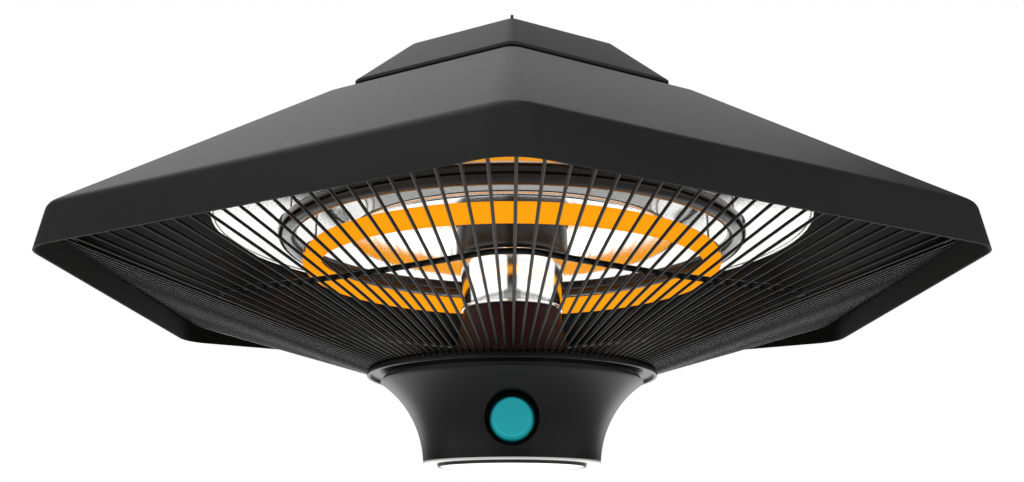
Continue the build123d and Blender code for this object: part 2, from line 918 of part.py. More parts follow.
def skirt_inside(height):
    """From the middle to the inner face of a side of the skirt, at a height."""
    low, high = [corner * cos(half_angle) for corner in (canopy_corner, canopy_corner - skirt_draft)]
    rise = skirt_height - skirt_low
    wall = sheet * sqrt((low - high) ** 2 + rise**2) / rise
    return low - (low - high) * (height - skirt_low) / rise - wall


def guard_clips():
    """Spring hooks welded inside the skirt, one in the middle of each side, that hold the rim."""
    apothem = rim_side()
    height = rim_height
    reach = rim_radius + air_gap
    wall = clip_sheet
    top = height + reach + clip_rise
    points = [
        (apothem + clip_hook, height - reach - wall),
        (apothem - reach - wall, height - reach - wall),
        (apothem - reach - wall, height + reach + wall),
        (skirt_inside(height + reach) - wall, height + reach + wall),
        (skirt_inside(top) - wall, top),
        (skirt_inside(top), top),
        (skirt_inside(height + reach), height + reach),
        (apothem - reach, height + reach),
        (apothem - reach, height - reach),
        (apothem + clip_hook, height - reach),
    ]
    profile = Plane.XZ * make_face(Polyline(*points, close=True))
    one = Pos(0, clip_length / 2 + clip_shift(), 0) * extrude(profile, clip_length)
    return group(turned(angle, one) for angle in side_angles)


def clip_shift():
    """How far a clip stands from the middle of its side, so that it falls between two wires."""
    first = floor((30 / wire_pitch) - wire_offset)
    between = (first + 0.5 + wire_offset) * wire_pitch - 30
    return rim_side() * tan(radians(between))


def bezel_ring():
    top, low, wall = hub_ring_bottom, bezel_bottom, bezel_wall
    points = [
        (bezel_inner_radius, top),
        (bezel_radius, top),
        (bezel_radius, low),
        (bezel_radius - wall, low),
        (bezel_radius - wall, top - wall / 2),
        (bezel_inner_radius + wall, top - wall / 2),
        (bezel_inner_radius + wall, hub_plate_top),
        (bezel_inner_radius, hub_plate_top),
    ]
    body = spun(points)
    outer_edges = body.edges().filter_by(GeomType.CIRCLE).sort_by(SortBy.RADIUS)[-2:]
    return fillet(outer_edges, wall * 0.4)


def hub_plate():
    plate = disc(hub_plate_radius, hub_plate_bottom, hub_plate_top)
    plate -= disc(tube_radius + tube_fit, hub_plate_bottom - 1, hub_plate_top + 1)
    hole = disc(boss_screw_radius + seat_gap, hub_plate_bottom - 1, hub_plate_top + 1)
    plate -= group(around(boss_circle, boss_angles, hole))
    return plate - group(around(standoff_circle, standoff_angles, hole))


def flare(height, inward):
    """Outer radius of the housing at a height, less a wall."""
    reach = flare_radius + inward
    return flare_middle_radius - sqrt(reach**2 - (height - flare_middle_height) ** 2)


def flare_body(inward, low, high):
    """The housing's solid of revolution, drawn in by a wall."""
    middle = (low + high) / 2
    points = [(flare(z, inward), z) for z in (high, middle, low)]
    curve = ThreePointArc(*points)
    return spun_face(curve, Line(points[2], (0, low)), Line((0, low), (0, high)), Line((0, high), points[0]))


def housing_shell():
    outer = flare_body(0, housing_bottom, hub_plate_bottom)
    inner = flare_body(housing_wall, housing_bottom - 1, hub_plate_bottom + 1)
    shell = outer - inner
    boss = disc(boss_radius, hub_plate_bottom - boss_length, hub_plate_bottom)
    shell += group(around(boss_circle, boss_angles, boss)) & outer
    hole = disc(boss_screw_radius + seat_gap, hub_plate_bottom - boss_length + 2, hub_plate_bottom + 1)
    shell -= group(around(boss_circle, boss_angles, hole))
    return shell - along_y(well_radius, button_face + 20, 30)


def along_y(radius, front, back):
    """A round bar on the button's axis, between two distances in front of the middle."""
    return Pos(0, -(front + back) / 2, button_height) * Rot(90, 0, 0) * Cylinder(radius, front - back)


def housing_screws():
    head = disc(boss_screw_radius * 2, hub_plate_top, hub_plate_top + boss_screw_radius * 1.3)
    low = hub_plate_bottom - boss_length + 2.5
    one = head + disc(boss_screw_radius, low, hub_plate_top + 0.5)
    return group(around(boss_circle, boss_angles, one))


def button_cap():
    back = button_face - button_length
    cone = Cone(button_base_radius, button_face_radius, button_length)
    cone = fillet(cone.edges().group_by(Axis.Z)[-1], button_edge)
    cone = Pos(0, -(button_face + back) / 2, button_height) * Rot(90, 0, 0) * cone
    return cone + along_y(button_stem_radius, back + 1, back - button_stem_length)


def button_spring():
    front, back = button_face - button_length, well_back()
    hollow = along_y(spring_radius - spring_wall, front + 1, back - 1)
    return along_y(spring_radius, front, back) - hollow


def well_back():
    """Where the front of the well's floor lies, in front of the middle."""
    return button_face - well_depth


def button_well():
    front = button_face + 20
    outer = well_radius + well_wall
    floor_back = well_back() - well_floor
    body = along_y(outer, front, floor_back) - along_y(well_radius, front + 1, well_back())
    body -= along_y(button_stem_radius + stem_fit, front, floor_back - 1)
    inside = flare_body(housing_wall + seat_gap / 2, housing_bottom, hub_plate_bottom)
    return body & inside


def switch_plunger():
    front = button_face - button_length - button_stem_length
    return along_y(plunger_radius, front, front - plunger_length)


def switch_body():
    front = well_back() - well_floor
    half = switch_size / 2
    low = (-half, -front, button_height - half)
    body = box_between(low, (half, -front + switch_length, button_height + half))
    depth = switch_length - 1.5
    return body - along_y(plunger_radius + plunger_fit, front + 1, front - depth)


def control_board():
    board = disc(board_radius, board_bottom, board_top)
    front = 2 * board_radius
    board -= box_between((-front, -front, board_bottom - 1), (front, -board_cut, board_top + 1))
    hole = disc(boss_screw_radius + seat_gap, board_bottom - 1, board_top + 1)
    return board - group(around(standoff_circle, standoff_angles, hole))


def board_standoffs():
    one = disc(standoff_radius, board_top, hub_plate_bottom)
    one -= disc(boss_screw_radius + seat_gap, board_top - 1, hub_plate_bottom + 1)
    return group(around(standoff_circle, standoff_angles, one))


def board_screws():
    head = disc(boss_screw_radius * 2, board_bottom - boss_screw_radius * 1.3, board_bottom)
    one = head + disc(boss_screw_radius, board_bottom - 0.5, hub_plate_top)
    return group(around(standoff_circle, standoff_angles, one))


def under_board(x, y, size):
    width, depth, height = size
    low = (x - width / 2, y - depth / 2, board_bottom - height)
    return box_between(low, (x + width / 2, y + depth / 2, board_bottom))


def relays():
    body = [under_board(x, 12, relay_size) for x in (10, 27)]
    return group(chamfer(one.edges().filter_by(Axis.Z), 0.8) for one in body)


def transformer():
    width, depth, height = transformer_size
    core = under_board(-24, 10, (width, depth * 0.6, height))
    return core + under_board(-24, 10, (width * 0.6, depth, height * 0.8))


def capacitor():
    low = board_bottom - capacitor_length
    body = disc(capacitor_radius, low, board_bottom)
    return Pos(0, 34, 0) * fillet(body.edges().group_by(Axis.Z)[0], 1.0)


def trim_low():
    return housing_bottom - trim_thick


def housing_end_radius():
    """Inner radius of the housing at its lower end."""
    return flare(housing_bottom, housing_wall)


def trim_ring():
    outer = flare(housing_bottom, 0)
    wall_outer = housing_end_radius() - trim_fit
    plate = ring(outer, trim_inner_radius, trim_low(), housing_bottom)
    wall_top = housing_bottom + trim_wall_height
    return plate + ring(wall_outer, wall_outer - trim_wall, housing_bottom - 0.5, wall_top)


def lens_ring():
    outer = trim_inner_radius - seat_gap
    inner = outer - lens_ring_wall
    low = trim_low() - lens_ring_drop
    body = ring(outer, inner, low, low + lens_ring_height)
    body += ring(outer + lens_ring_flange, inner + 0.5, housing_bottom, housing_bottom + 1.2)
    ledge_top = low + lens_ring_height
    return body + ring(inner + 0.5, inner - lens_ledge, ledge_top - 1.0, ledge_top)


def lens_inner_radius():
    return trim_inner_radius - seat_gap - lens_ring_wall


def diffuser_lens():
    low = trim_low() - lens_ring_drop
    body = disc(lens_inner_radius() - lens_fit, low, low + lens_thick)
    return chamfer(body.edges().group_by(Axis.Z)[0], 0.4)


def led_board_bottom():
    return trim_low() - lens_ring_drop + lens_ring_height


def led_board():
    low = led_board_bottom()
    return disc(lens_inner_radius() + 0.8, low, low + led_board_thick)


def led_chips():
    low = led_board_bottom()
    half = led_size / 2
    one = box_between((-half, -half, low - led_thick), (half, half, low))
    return group(around(led_circle, [360 / led_count * k for k in range(led_count)], one))


write(top_cover(), "top_cover")
write(cap_cover(), "cap_cover")
write(cap_tray(), "cap_tray")
write(cap_gasket(), "cap_gasket")
write(cap_spacers(), "cap_spacers")
write(tray_screws(), "tray_screws")
write(tray_nuts(), "tray_nuts")
write(hanging_lug(), "hanging_lug")
write(clamp_washers(), "clamp_washers")
write(clamp_nuts(), "clamp_nuts")
write(centre_tube(), "centre_tube")
write(clamp_sleeves(), "clamp_sleeves")
write(cable_gland(), "cable_gland")
write(gland_nut(), "gland_nut")
write(terminal_block(), "terminal_block")
write(terminal_screws(), "terminal_screws")
write(supply_harness(), "supply_harness")
write(harness_grommets(), "harness_grommets")
write(control_cable(), "control_cable")
write(heat_shield(), "heat_shield")
write(thermal_cutout(), "thermal_cutout")
write(reflector_dish(), "reflector_dish")
write(reflector_dome(), "reflector_dome")
write(lit_tube(), "lit_tube")
write(unlit_tube(), "unlit_tube")
write(lit_filament(), "lit_filament")
write(unlit_filament(), "unlit_filament")
write(end_caps(), "end_caps")
write(end_brackets(), "end_brackets")
write(tube_clips(), "tube_clips")
write(lead_wires(), "lead_wires")
write(lead_bushings(), "lead_bushings")
write(ceramic_terminal(), "ceramic_terminal")
write(column_collar(), "column_collar")
write(column_sleeve(), "column_sleeve")
write(column_flange(), "column_flange")
write(neck_shroud(), "neck_shroud")
write(wire_guard(), "wire_guard")
write(guard_rim(), "guard_rim")
write(guard_clips(), "guard_clips")
write(bezel_ring(), "bezel_ring")
write(hub_plate(), "hub_plate")
write(housing_shell(), "housing_shell")
write(housing_screws(), "housing_screws")
write(button_cap(), "button_cap")
write(button_spring(), "button_spring")
write(button_well(), "button_well")
write(switch_plunger(), "switch_plunger")
write(switch_body(), "switch_body")
write(control_board(), "control_board")
write(board_standoffs(), "board_standoffs")
write(board_screws(), "board_screws")
write(relays(), "relays")
write(transformer(), "transformer")
write(capacitor(), "capacitor")
write(trim_ring(), "trim_ring")
write(lens_ring(), "lens_ring")
write(diffuser_lens(), "diffuser_lens")
write(led_board(), "led_board")
write(led_chips(), "led_chips")
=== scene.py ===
from math import cos, pi, radians, sin, sqrt, tan

import bmesh
import bpy
from mathutils import Matrix, Vector


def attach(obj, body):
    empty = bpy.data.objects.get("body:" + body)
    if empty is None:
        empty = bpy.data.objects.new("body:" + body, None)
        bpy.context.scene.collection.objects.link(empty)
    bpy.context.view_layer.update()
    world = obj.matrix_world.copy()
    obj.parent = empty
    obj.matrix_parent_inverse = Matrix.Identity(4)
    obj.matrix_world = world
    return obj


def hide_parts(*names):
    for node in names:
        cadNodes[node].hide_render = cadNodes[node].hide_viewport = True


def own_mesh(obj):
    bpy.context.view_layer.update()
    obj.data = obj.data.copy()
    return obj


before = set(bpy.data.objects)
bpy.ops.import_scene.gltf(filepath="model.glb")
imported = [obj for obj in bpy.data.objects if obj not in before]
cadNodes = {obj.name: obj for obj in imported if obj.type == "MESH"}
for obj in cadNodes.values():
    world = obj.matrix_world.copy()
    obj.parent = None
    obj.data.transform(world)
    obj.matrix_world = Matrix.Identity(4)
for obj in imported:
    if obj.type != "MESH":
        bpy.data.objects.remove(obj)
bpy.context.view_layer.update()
print("frame loaded:", len(cadNodes), "nodes")

# Sizes are in millimetres, and heights count from a level just above the skirt's lower edge.
# The frame's origin is the middle of the hanging eye.
eyeHeight = 178.0


def place(x, y, z):
    return Vector((x / 1000.0, y / 1000.0, (z - eyeHeight) / 1000.0))


def addNode(tree, kind, settings=None, links=None):
    node = tree.nodes.new(kind)
    for key, value in (settings or {}).items():
        if isinstance(key, int) or key in node.inputs:
            node.inputs[key].default_value = value
        else:
            setattr(node, key, value)
    for key, source in (links or {}).items():
        tree.links.new(source, node.inputs[key])
    return node


def linear(hexColour):
    parts = [int(hexColour[k:k + 2], 16) / 255.0 for k in (1, 3, 5)]
    return tuple(p / 12.92 if p <= 0.04045 else ((p + 0.055) / 1.055) ** 2.4 for p in parts) + (1.0,)


def perMm(size):
    return 1000.0 / size  # a texture scale that gives features of this many millimetres


def newMaterial(name, look):
    material = bpy.data.materials.new(name)
    material.use_nodes = True
    tree = material.node_tree
    tree.nodes.clear()
    shader = addNode(tree, "ShaderNodeBsdfPrincipled", look.get("sockets"))
    addNode(tree, "ShaderNodeOutputMaterial", None, {"Surface": shader.outputs["BSDF"]})
    coords = addNode(tree, "ShaderNodeTexCoord").outputs["Object"]
    return material, tree, shader, coords


# Two close colours in soft patches; gives back the pattern and the colour.
def paintPatches(tree, shader, coords, look, detail=2.0):
    patch = addNode(tree, "ShaderNodeTexNoise", {"Scale": perMm(look["patchMm"]), "Detail": detail},
                    {"Vector": coords})
    tint = addNode(tree, "ShaderNodeMix", {"data_type": "RGBA", 6: linear(look["colours"][0]),
                                           7: linear(look["colours"][1])}, {0: patch.outputs[0]})
    tree.links.new(tint.outputs[2], shader.inputs["Base Color"])
    return patch.outputs[0], tint.outputs[2]


# How rough and how uneven the surface is, each from a pattern.
def shapeSurface(tree, shader, look, roughFrom, heightFrom, depthMm):
    rough = addNode(tree, "ShaderNodeMapRange", {3: look["rough"][0], 4: look["rough"][1]}, {0: roughFrom})
    tree.links.new(rough.outputs[0], shader.inputs["Roughness"])
    bump = addNode(tree, "ShaderNodeBump", {"Strength": look["bump"], "Distance": depthMm / 1000.0},
                   {"Height": heightFrom})
    tree.links.new(bump.outputs[0], shader.inputs["Normal"])


# Soft patches and a fine grain. On most of the real surfaces the grain is a tenth of a millimetre or so,
# which is too fine to show, so it is drawn as coarse as it needs to be.
def makeFinish(name, look):
    material, tree, shader, coords = newMaterial(name, look)
    paintPatches(tree, shader, coords, look, 3.0)
    grain = addNode(tree, "ShaderNodeTexNoise", {"Scale": perMm(look["grainMm"]), "Detail": 2.0},
                    {"Vector": coords}).outputs[0]
    shapeSurface(tree, shader, look, grain, grain, look["grainMm"] / 5.0)
    return material


# polyester powder, sprayed and baked: matt black with a fine orange peel
powderCoat = makeFinish("powder_coated_steel_baked_matt", {
    "colours": ("#1E1E1F", "#232324"), "patchMm": 60.0, "grainMm": 1.1, "rough": (0.46, 0.6), "bump": 0.16,
    "sockets": {"Specular IOR Level": 0.42}})
# the same coat inside the canopy, painted near black as painted shade where the hollow lies in shadow, with a
# duller gloss
paintedShadeCoat = makeFinish("powder_coated_steel_inside_painted_shade", {
    "colours": ("#080808", "#0E0D0D"), "patchMm": 9.0, "grainMm": 1.4, "rough": (0.55, 0.75), "bump": 0.12,
    "sockets": {"Specular IOR Level": 0.1}})
# moulded ABS with a fine spark-eroded texture: satin, soft highlights
satinAbs = makeFinish("abs_moulded_satin_black", {
    "colours": ("#0E0E0F", "#121213"), "patchMm": 40.0, "grainMm": 0.5, "rough": (0.35, 0.44), "bump": 0.07,
    "sockets": {"Specular IOR Level": 0.22}})
# dyed ABS with a satin mould face: even teal, soft sheen
tealAbs = makeFinish("abs_moulded_satin_teal", {
    "colours": ("#19C4CE", "#1ECAD3"), "patchMm": 14.0, "grainMm": 0.4, "rough": (0.42, 0.52), "bump": 0.06,
    "sockets": {"Specular IOR Level": 0.4}})
# stove enamel on drawn wire: black, glossy enough to catch a thin light line
enamelWire = makeFinish("enamelled_steel_wire_black", {
    "colours": ("#0B0B0B", "#100F0F"), "patchMm": 20.0, "grainMm": 0.6, "rough": (0.26, 0.36), "bump": 0.08,
    "sockets": {"Specular IOR Level": 0.2}})
# the same enamel on the thick rim rod, flowed out smooth: a sharp light line along it
enamelRod = makeFinish("enamelled_steel_rod_gloss_black", {
    "colours": ("#121212", "#171717"), "patchMm": 20.0, "grainMm": 0.9, "rough": (0.14, 0.2), "bump": 0.03,
    "sockets": {"Specular IOR Level": 0.7, "Coat Weight": 0.6, "Coat Roughness": 0.08}})
# glazed black stoneware: deep black, with soft reflections under a thin wet gloss
glazedBlack = makeFinish("stoneware_glazed_black", {
    "colours": ("#0B0707", "#110B0B"), "patchMm": 12.0, "grainMm": 1.6, "rough": (0.24, 0.34), "bump": 0.04,
    "sockets": {"Specular IOR Level": 0.3, "Coat Weight": 0.12, "Coat Roughness": 0.14}})
# silicone heat paint, brushed on: brown-black satin
heatPaint = makeFinish("steel_heat_painted_brown_black", {
    "colours": ("#120B0C", "#1C1012"), "patchMm": 10.0, "grainMm": 0.9, "rough": (0.34, 0.46), "bump": 0.1,
    "sockets": {"Specular IOR Level": 0.16, "Specular Tint": (1.0, 0.3, 0.3, 1.0)}})
# white ABS moulding: clean, slightly glossy
whiteAbs = makeFinish("abs_moulded_white", {
    "colours": ("#E6E6E4", "#EEEEEC"), "patchMm": 30.0, "grainMm": 0.5, "rough": (0.34, 0.44), "bump": 0.05})
# galvanised steel sheet and screws: grey with a faint zinc bloom
zincSteel = makeFinish("steel_zinc_plated_bright", {
    "colours": ("#A9ADB2", "#C2C5C8"), "patchMm": 4.0, "grainMm": 0.7, "rough": (0.24, 0.42), "bump": 0.08,
    "sockets": {"Metallic": 1.0}})
# hardened spring steel, oil tempered: straw grey
springSteel = makeFinish("spring_steel_oil_tempered", {
    "colours": ("#7A756E", "#8F8A82"), "patchMm": 3.0, "grainMm": 0.5, "rough": (0.25, 0.38), "bump": 0.06,
    "sockets": {"Metallic": 1.0}})
# polyamide moulding: dull black with a dry grain
blackNylon = makeFinish("polyamide_moulded_black", {
    "colours": ("#141414", "#1B1B1B"), "patchMm": 8.0, "grainMm": 0.6, "rough": (0.5, 0.62), "bump": 0.14})
# natural polyamide moulding: milky cream
creamNylon = makeFinish("polyamide_moulded_natural", {
    "colours": ("#D8D2C2", "#E3DECF"), "patchMm": 8.0, "grainMm": 0.6, "rough": (0.42, 0.52), "bump": 0.08,
    "sockets": {"Subsurface Weight": 0.1, "Subsurface Scale": 0.002}})
# silicone rubber, pressed: soft dark grey
siliconeRubber = makeFinish("silicone_rubber_pressed", {
    "colours": ("#2B2B2C", "#343435"), "patchMm": 6.0, "grainMm": 0.5, "rough": (0.62, 0.74), "bump": 0.1})
# glass fibre sleeve over the leads: off-white, dry
fibreSleeve = makeFinish("glass_fibre_sleeve_braided", {
    "colours": ("#C9C2B2", "#DAD5C8"), "patchMm": 1.6, "grainMm": 0.8, "rough": (0.7, 0.85), "bump": 0.5})
# steatite, fired and unglazed: chalk white with tiny pores
steatite = makeFinish("steatite_fired_unglazed", {
    "colours": ("#DDD9CF", "#EAE7DF"), "patchMm": 5.0, "grainMm": 0.8, "rough": (0.6, 0.75), "bump": 0.22})
# glass epoxy board with solder mask: green, slightly glossy
solderMask = makeFinish("glass_epoxy_board_solder_masked", {
    "colours": ("#0E3B22", "#165030"), "patchMm": 3.5, "grainMm": 0.7, "rough": (0.28, 0.4), "bump": 0.12})
# shrink sleeve on the capacitor can: dark blue gloss
shrinkSleeve = makeFinish("pvc_shrink_sleeve_blue", {
    "colours": ("#16203F", "#1D2A50"), "patchMm": 6.0, "grainMm": 0.9, "rough": (0.22, 0.32), "bump": 0.05})
# aluminium board, rolled and lightly etched: pale satin grey
etchedAluminium = makeFinish("aluminium_rolled_etched", {
    "colours": ("#B9BBBD", "#CDCFD0"), "patchMm": 7.0, "grainMm": 0.6, "rough": (0.3, 0.44), "bump": 0.07,
    "sockets": {"Metallic": 1.0}})
# cast silicone over the diodes: pale yellow
phosphorGel = makeFinish("silicone_phosphor_cast", {
    "colours": ("#E9D27A", "#F2E093"), "patchMm": 2.0, "grainMm": 0.5, "rough": (0.25, 0.35), "bump": 0.05,
    "sockets": {"Subsurface Weight": 0.2, "Subsurface Scale": 0.001}})
# carbon strip, cold: graphite grey
carbonStrip = makeFinish("carbon_strip_cold", {
    "colours": ("#1D1B1A", "#2B2826"), "patchMm": 2.0, "grainMm": 0.6, "rough": (0.5, 0.7), "bump": 0.3})


# Bright sheet with turning marks round the axis. The real marks are closer, and are drawn as far apart as
# they need to be to show.
def makePolishedSheet(name, look):
    material, tree, shader, coords = newMaterial(name, look)
    haze = paintPatches(tree, shader, coords, look)[0]
    waveScale = perMm(look["markMm"]) * 2 * pi / 20.0  # a wave texture has 20 radians to a unit
    marks = addNode(tree, "ShaderNodeTexWave",
                    {"wave_type": "RINGS", "rings_direction": "Z", "Scale": waveScale, "Distortion": 0.6,
                     "Detail": 2.0}, {"Vector": coords})
    shapeSurface(tree, shader, look, haze, marks.outputs[1], look["depthMm"])
    return material


# aluminium sheet, spun and polished: bright mirror with faint turning marks
polishedSheet = makePolishedSheet("aluminium_spun_polished", {
    "colours": ("#F4F4F2", "#E9EAEA"), "patchMm": 35.0, "markMm": 9.42, "depthMm": 0.2,
    "rough": (0.1, 0.14), "bump": 0.006, "sockets": {"Metallic": 1.0}})
# the dish is rolled and bright dipped, not buffed: white metal that blurs what it mirrors
brightSheet = makePolishedSheet("aluminium_rolled_bright_dipped", {
    "colours": ("#F2F2F0", "#E6E7E7"), "patchMm": 50.0, "markMm": 13.82, "depthMm": 0.2,
    "rough": (0.2, 0.27), "bump": 0.01, "sockets": {"Metallic": 1.0}})


# A glow that is a little deeper towards the edges, with a faint ripple along it.
def makeGlow(name, look):
    material, tree, shader, coords = newMaterial(name, look)
    middle, rim, ripples = [linear(colour) for colour in look["glow"]]
    edge = addNode(tree, "ShaderNodeLayerWeight", {"Blend": look["edge"]})
    ripple = addNode(tree, "ShaderNodeTexNoise", {"Scale": perMm(look["rippleMm"]), "Detail": 1.0},
                     {"Vector": coords})
    warm = addNode(tree, "ShaderNodeMix", {"data_type": "RGBA", 6: middle, 7: rim},
                   {0: edge.outputs["Facing"]})
    amount = addNode(tree, "ShaderNodeMath", {"operation": "MULTIPLY", 1: look["rippleShare"]},
                     {0: ripple.outputs[0]})
    glow = addNode(tree, "ShaderNodeMix", {"data_type": "RGBA", 7: ripples},
                   {0: amount.outputs[0], 6: warm.outputs[2]})
    tree.links.new(glow.outputs[2], shader.inputs["Emission Color"])
    return material


# quartz glass tube over a glowing carbon strip: the strip's light fills it, so that it shows as flat orange
litQuartz = makeGlow("quartz_drawn_tube_glowing", {
    "glow": ("#FFA411", "#FB9608", "#FFAE22"), "edge": 0.25, "rippleMm": 7.0, "rippleShare": 0.18,
    "sockets": {"Base Color": linear("#3A1C02"), "Roughness": 0.12, "IOR": 1.46, "Specular IOR Level": 0.0,
                "Emission Strength": 1.0}})
# carbon strip, glowing inside the lit tube: brighter and yellower than the tube
carbonGlow = makeGlow("carbon_strip_glowing", {
    "glow": ("#FFB638", "#FF9A10", "#FFC65A"), "edge": 0.4, "rippleMm": 2.0, "rippleShare": 0.18,
    "sockets": {"Base Color": linear("#2A1200"), "Roughness": 0.12, "IOR": 1.46, "Specular IOR Level": 0.0,
                "Emission Strength": 2.0}})


# A smooth body with soft clouds of colour, which may glow in that colour.
def makeSmooth(name, look):
    material, tree, shader, coords = newMaterial(name, look)
    tint = paintPatches(tree, shader, coords, look)[1]
    if look["glows"]:
        tree.links.new(tint, shader.inputs["Emission Color"])
    return material


# quartz glass tube, smoked and not lit: brown-black, with one soft highlight along it
darkQuartz = makeSmooth("quartz_drawn_tube_smoked", {
    "colours": ("#150D0D", "#231514"), "patchMm": 9.0, "glows": False,
    "sockets": {"Roughness": 0.16, "IOR": 1.46, "Coat Weight": 0.1, "Coat Roughness": 0.1}})
# acrylic with a fine opal filler, moulded: milk white, lit faintly from behind
opalAcrylic = makeSmooth("acrylic_opal_moulded", {
    "colours": ("#F1F1F0", "#FAFAF9"), "patchMm": 25.0, "glows": True,
    "sockets": {"Roughness": 0.3, "Subsurface Weight": 0.3, "Subsurface Scale": 0.004,
                "Emission Strength": 0.25}})

# CAD nodes that keep their shape
nodeFinishes = (
    (zincSteel, ("tray_screws", "tray_nuts", "clamp_washers", "clamp_nuts", "centre_tube", "clamp_sleeves",
                 "terminal_screws", "end_brackets", "housing_screws", "board_standoffs", "board_screws",
                 "heat_shield", "thermal_cutout", "transformer")),
    # the guard clips take the inside coat, darkened as painted shade
    (paintedShadeCoat, ("guard_clips",)),
    (springSteel, ("tube_clips",)),
    (blackNylon, ("gland_nut", "button_well", "switch_body", "relays")),
    (creamNylon, ("terminal_block", "switch_plunger")),
    (siliconeRubber, ("cap_gasket", "harness_grommets")),
    (fibreSleeve, ("supply_harness", "control_cable", "lead_wires")),
    (steatite, ("end_caps", "lead_bushings", "ceramic_terminal")),
    (solderMask, ("control_board",)),
    (shrinkSleeve, ("capacitor",)),
    (etchedAluminium, ("led_board",)),
    (phosphorGel, ("led_chips",)),
    (carbonStrip, ("unlit_filament",)),
    (carbonGlow, ("lit_filament",)),
    (powderCoat, ("cap_spacers", "hub_plate")),
)
for material, names in nodeFinishes:
    for name in names:
        slots = cadNodes[name].data.materials
        if not slots:
            slots.append(material)
        for k in range(len(slots)):
            slots[k] = material
print("carried-over nodes dressed")


# Rounds the corners of an outline of (distance, height) points; radii is one size or one for each point.
# A corner flatter than straight degrees stays, and a rounding takes at most its share of a side.
def roundOutline(points, radii, closed=True, steps=3, straight=175.0, share=0.45):
    count = len(points)
    if not isinstance(radii, (list, tuple)):
        radii = [radii] * count
    result = []
    for k in range(count):
        here = Vector(points[k])
        before = Vector(points[k - 1]) - here
        after = Vector(points[(k + 1) % count]) - here
        isEnd = not closed and k in (0, count - 1)
        if isEnd or radii[k] <= 0 or before.angle(after) > radians(straight):
            result.append(tuple(here))
            continue
        reach = min(radii[k] / tan(before.angle(after) / 2), before.length * share, after.length * share)
        start = here + before.normalized() * reach
        end = here + after.normalized() * reach
        for j in range(steps + 1):
            t = j / steps
            result.append(tuple(start * (1 - t) ** 2 + here * 2 * t * (1 - t) + end * t * t))
    return result


def addObject(name, data):
    thing = bpy.data.objects.new(name, data)
    bpy.context.scene.collection.objects.link(thing)
    return thing


def evaluatedMesh(thing):
    bpy.context.view_layer.update()
    graph = bpy.context.evaluated_depsgraph_get()
    return bpy.data.meshes.new_from_object(thing.evaluated_get(graph))


def finishPiece(name, mesh, node, body="heater", angle=40.0):
    piece = addObject(name, mesh)
    mesh.polygons.foreach_set("use_smooth", [True] * len(mesh.polygons))
    mesh.set_sharp_from_angle(angle=radians(angle))
    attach(piece, body)
    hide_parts(node)
    return piece


def finishMesh(name, bm, material, node, body="heater", angle=40.0):
    mesh = bpy.data.meshes.new(name)
    bmesh.ops.remove_doubles(bm, verts=bm.verts, dist=1e-6)
    bmesh.ops.recalc_face_normals(bm, faces=bm.faces)
    bm.to_mesh(mesh)
    bm.free()
    mesh.materials.append(material)
    return finishPiece(name, mesh, node, body, angle)


# Joins closed rings of points by quads, ring after ring. An outline that closes joins its last to its first.
def addRings(bm, rings, closed=True):
    rows = [[bm.verts.new(point) for point in ring] for ring in rings]
    pairs = list(zip(rows, rows[1:] + rows[:1])) if closed else list(zip(rows[:-1], rows[1:]))
    for low, high in pairs:
        for k in range(len(low)):
            n = (k + 1) % len(low)
            bm.faces.new((low[k], low[n], high[n], high[k]))
    return rows


def circleRing(radius, height, count, start=0.0):
    turns = [start + 2 * pi * k / count for k in range(count)]
    return [place(radius * cos(a), radius * sin(a), height) for a in turns]


# Adds a turned shape. An outline that starts and ends on the axis is closed by its two discs.
def addTurned(bm, outline, segments):
    onAxis = outline[0][0] < 0.01 and outline[-1][0] < 0.01
    points = outline[1:-1] if onAxis else outline
    rows = addRings(bm, [circleRing(radius, height, segments) for radius, height in points], not onAxis)
    if onAxis:
        bm.faces.new(rows[0])
        bm.faces.new(rows[-1])


def lathe(name, outline, material, node, segments):
    bm = bmesh.new()
    addTurned(bm, outline, segments)
    return finishMesh(name, bm, material, node)


# A four-cornered section, from the inner end of its lower face round to the inner end of its upper one.
def fourCorners(s, steps=3):
    return roundOutline([(s["inner"], s["low"]), (s["outer"], s["low"]), (s["outer"], s["top"]),
                         (s["inner"], s["top"])], s["roundings"], steps=steps)


hexSteps = {"arc": 10, "side": 4}  # stretches of each rounded corner and of each side


def polar(angle, reach):
    return Vector((reach * cos(angle), reach * sin(angle)))


# Points round a six-sided outline with rounded corners, one corner to the front.
def hexRing(flat, rounding, height):
    ring = []
    reach = (flat - rounding) / cos(radians(30.0))
    for k in range(6):
        corner = radians(-90.0 + 60.0 * k)
        following = corner + radians(60.0)
        for j in range(hexSteps["arc"] + 1):
            turn = corner + radians(-30.0 + 60.0 * j / hexSteps["arc"])
            ring.append(polar(corner, reach) + polar(turn, rounding))
        end = polar(following, reach) + polar(corner + radians(30.0), rounding)
        start = ring[-1]
        for j in range(1, hexSteps["side"]):
            ring.append(start.lerp(end, j / hexSteps["side"]))
    return [place(p.x, p.y, height) for p in ring]


# A round hole's ring, with as many points as a six-sided one.
def holeRing(radius, height):
    return circleRing(radius, height, 6 * (hexSteps["arc"] + hexSteps["side"]), radians(-120.0))


def interpolate(table, value):
    for (a, va), (b, vb) in zip(table[:-1], table[1:]):
        if value <= b:
            share = min(max((value - a) / (b - a), 0.0), 1.0)
            return va + (vb - va) * share
    return table[-1][1]


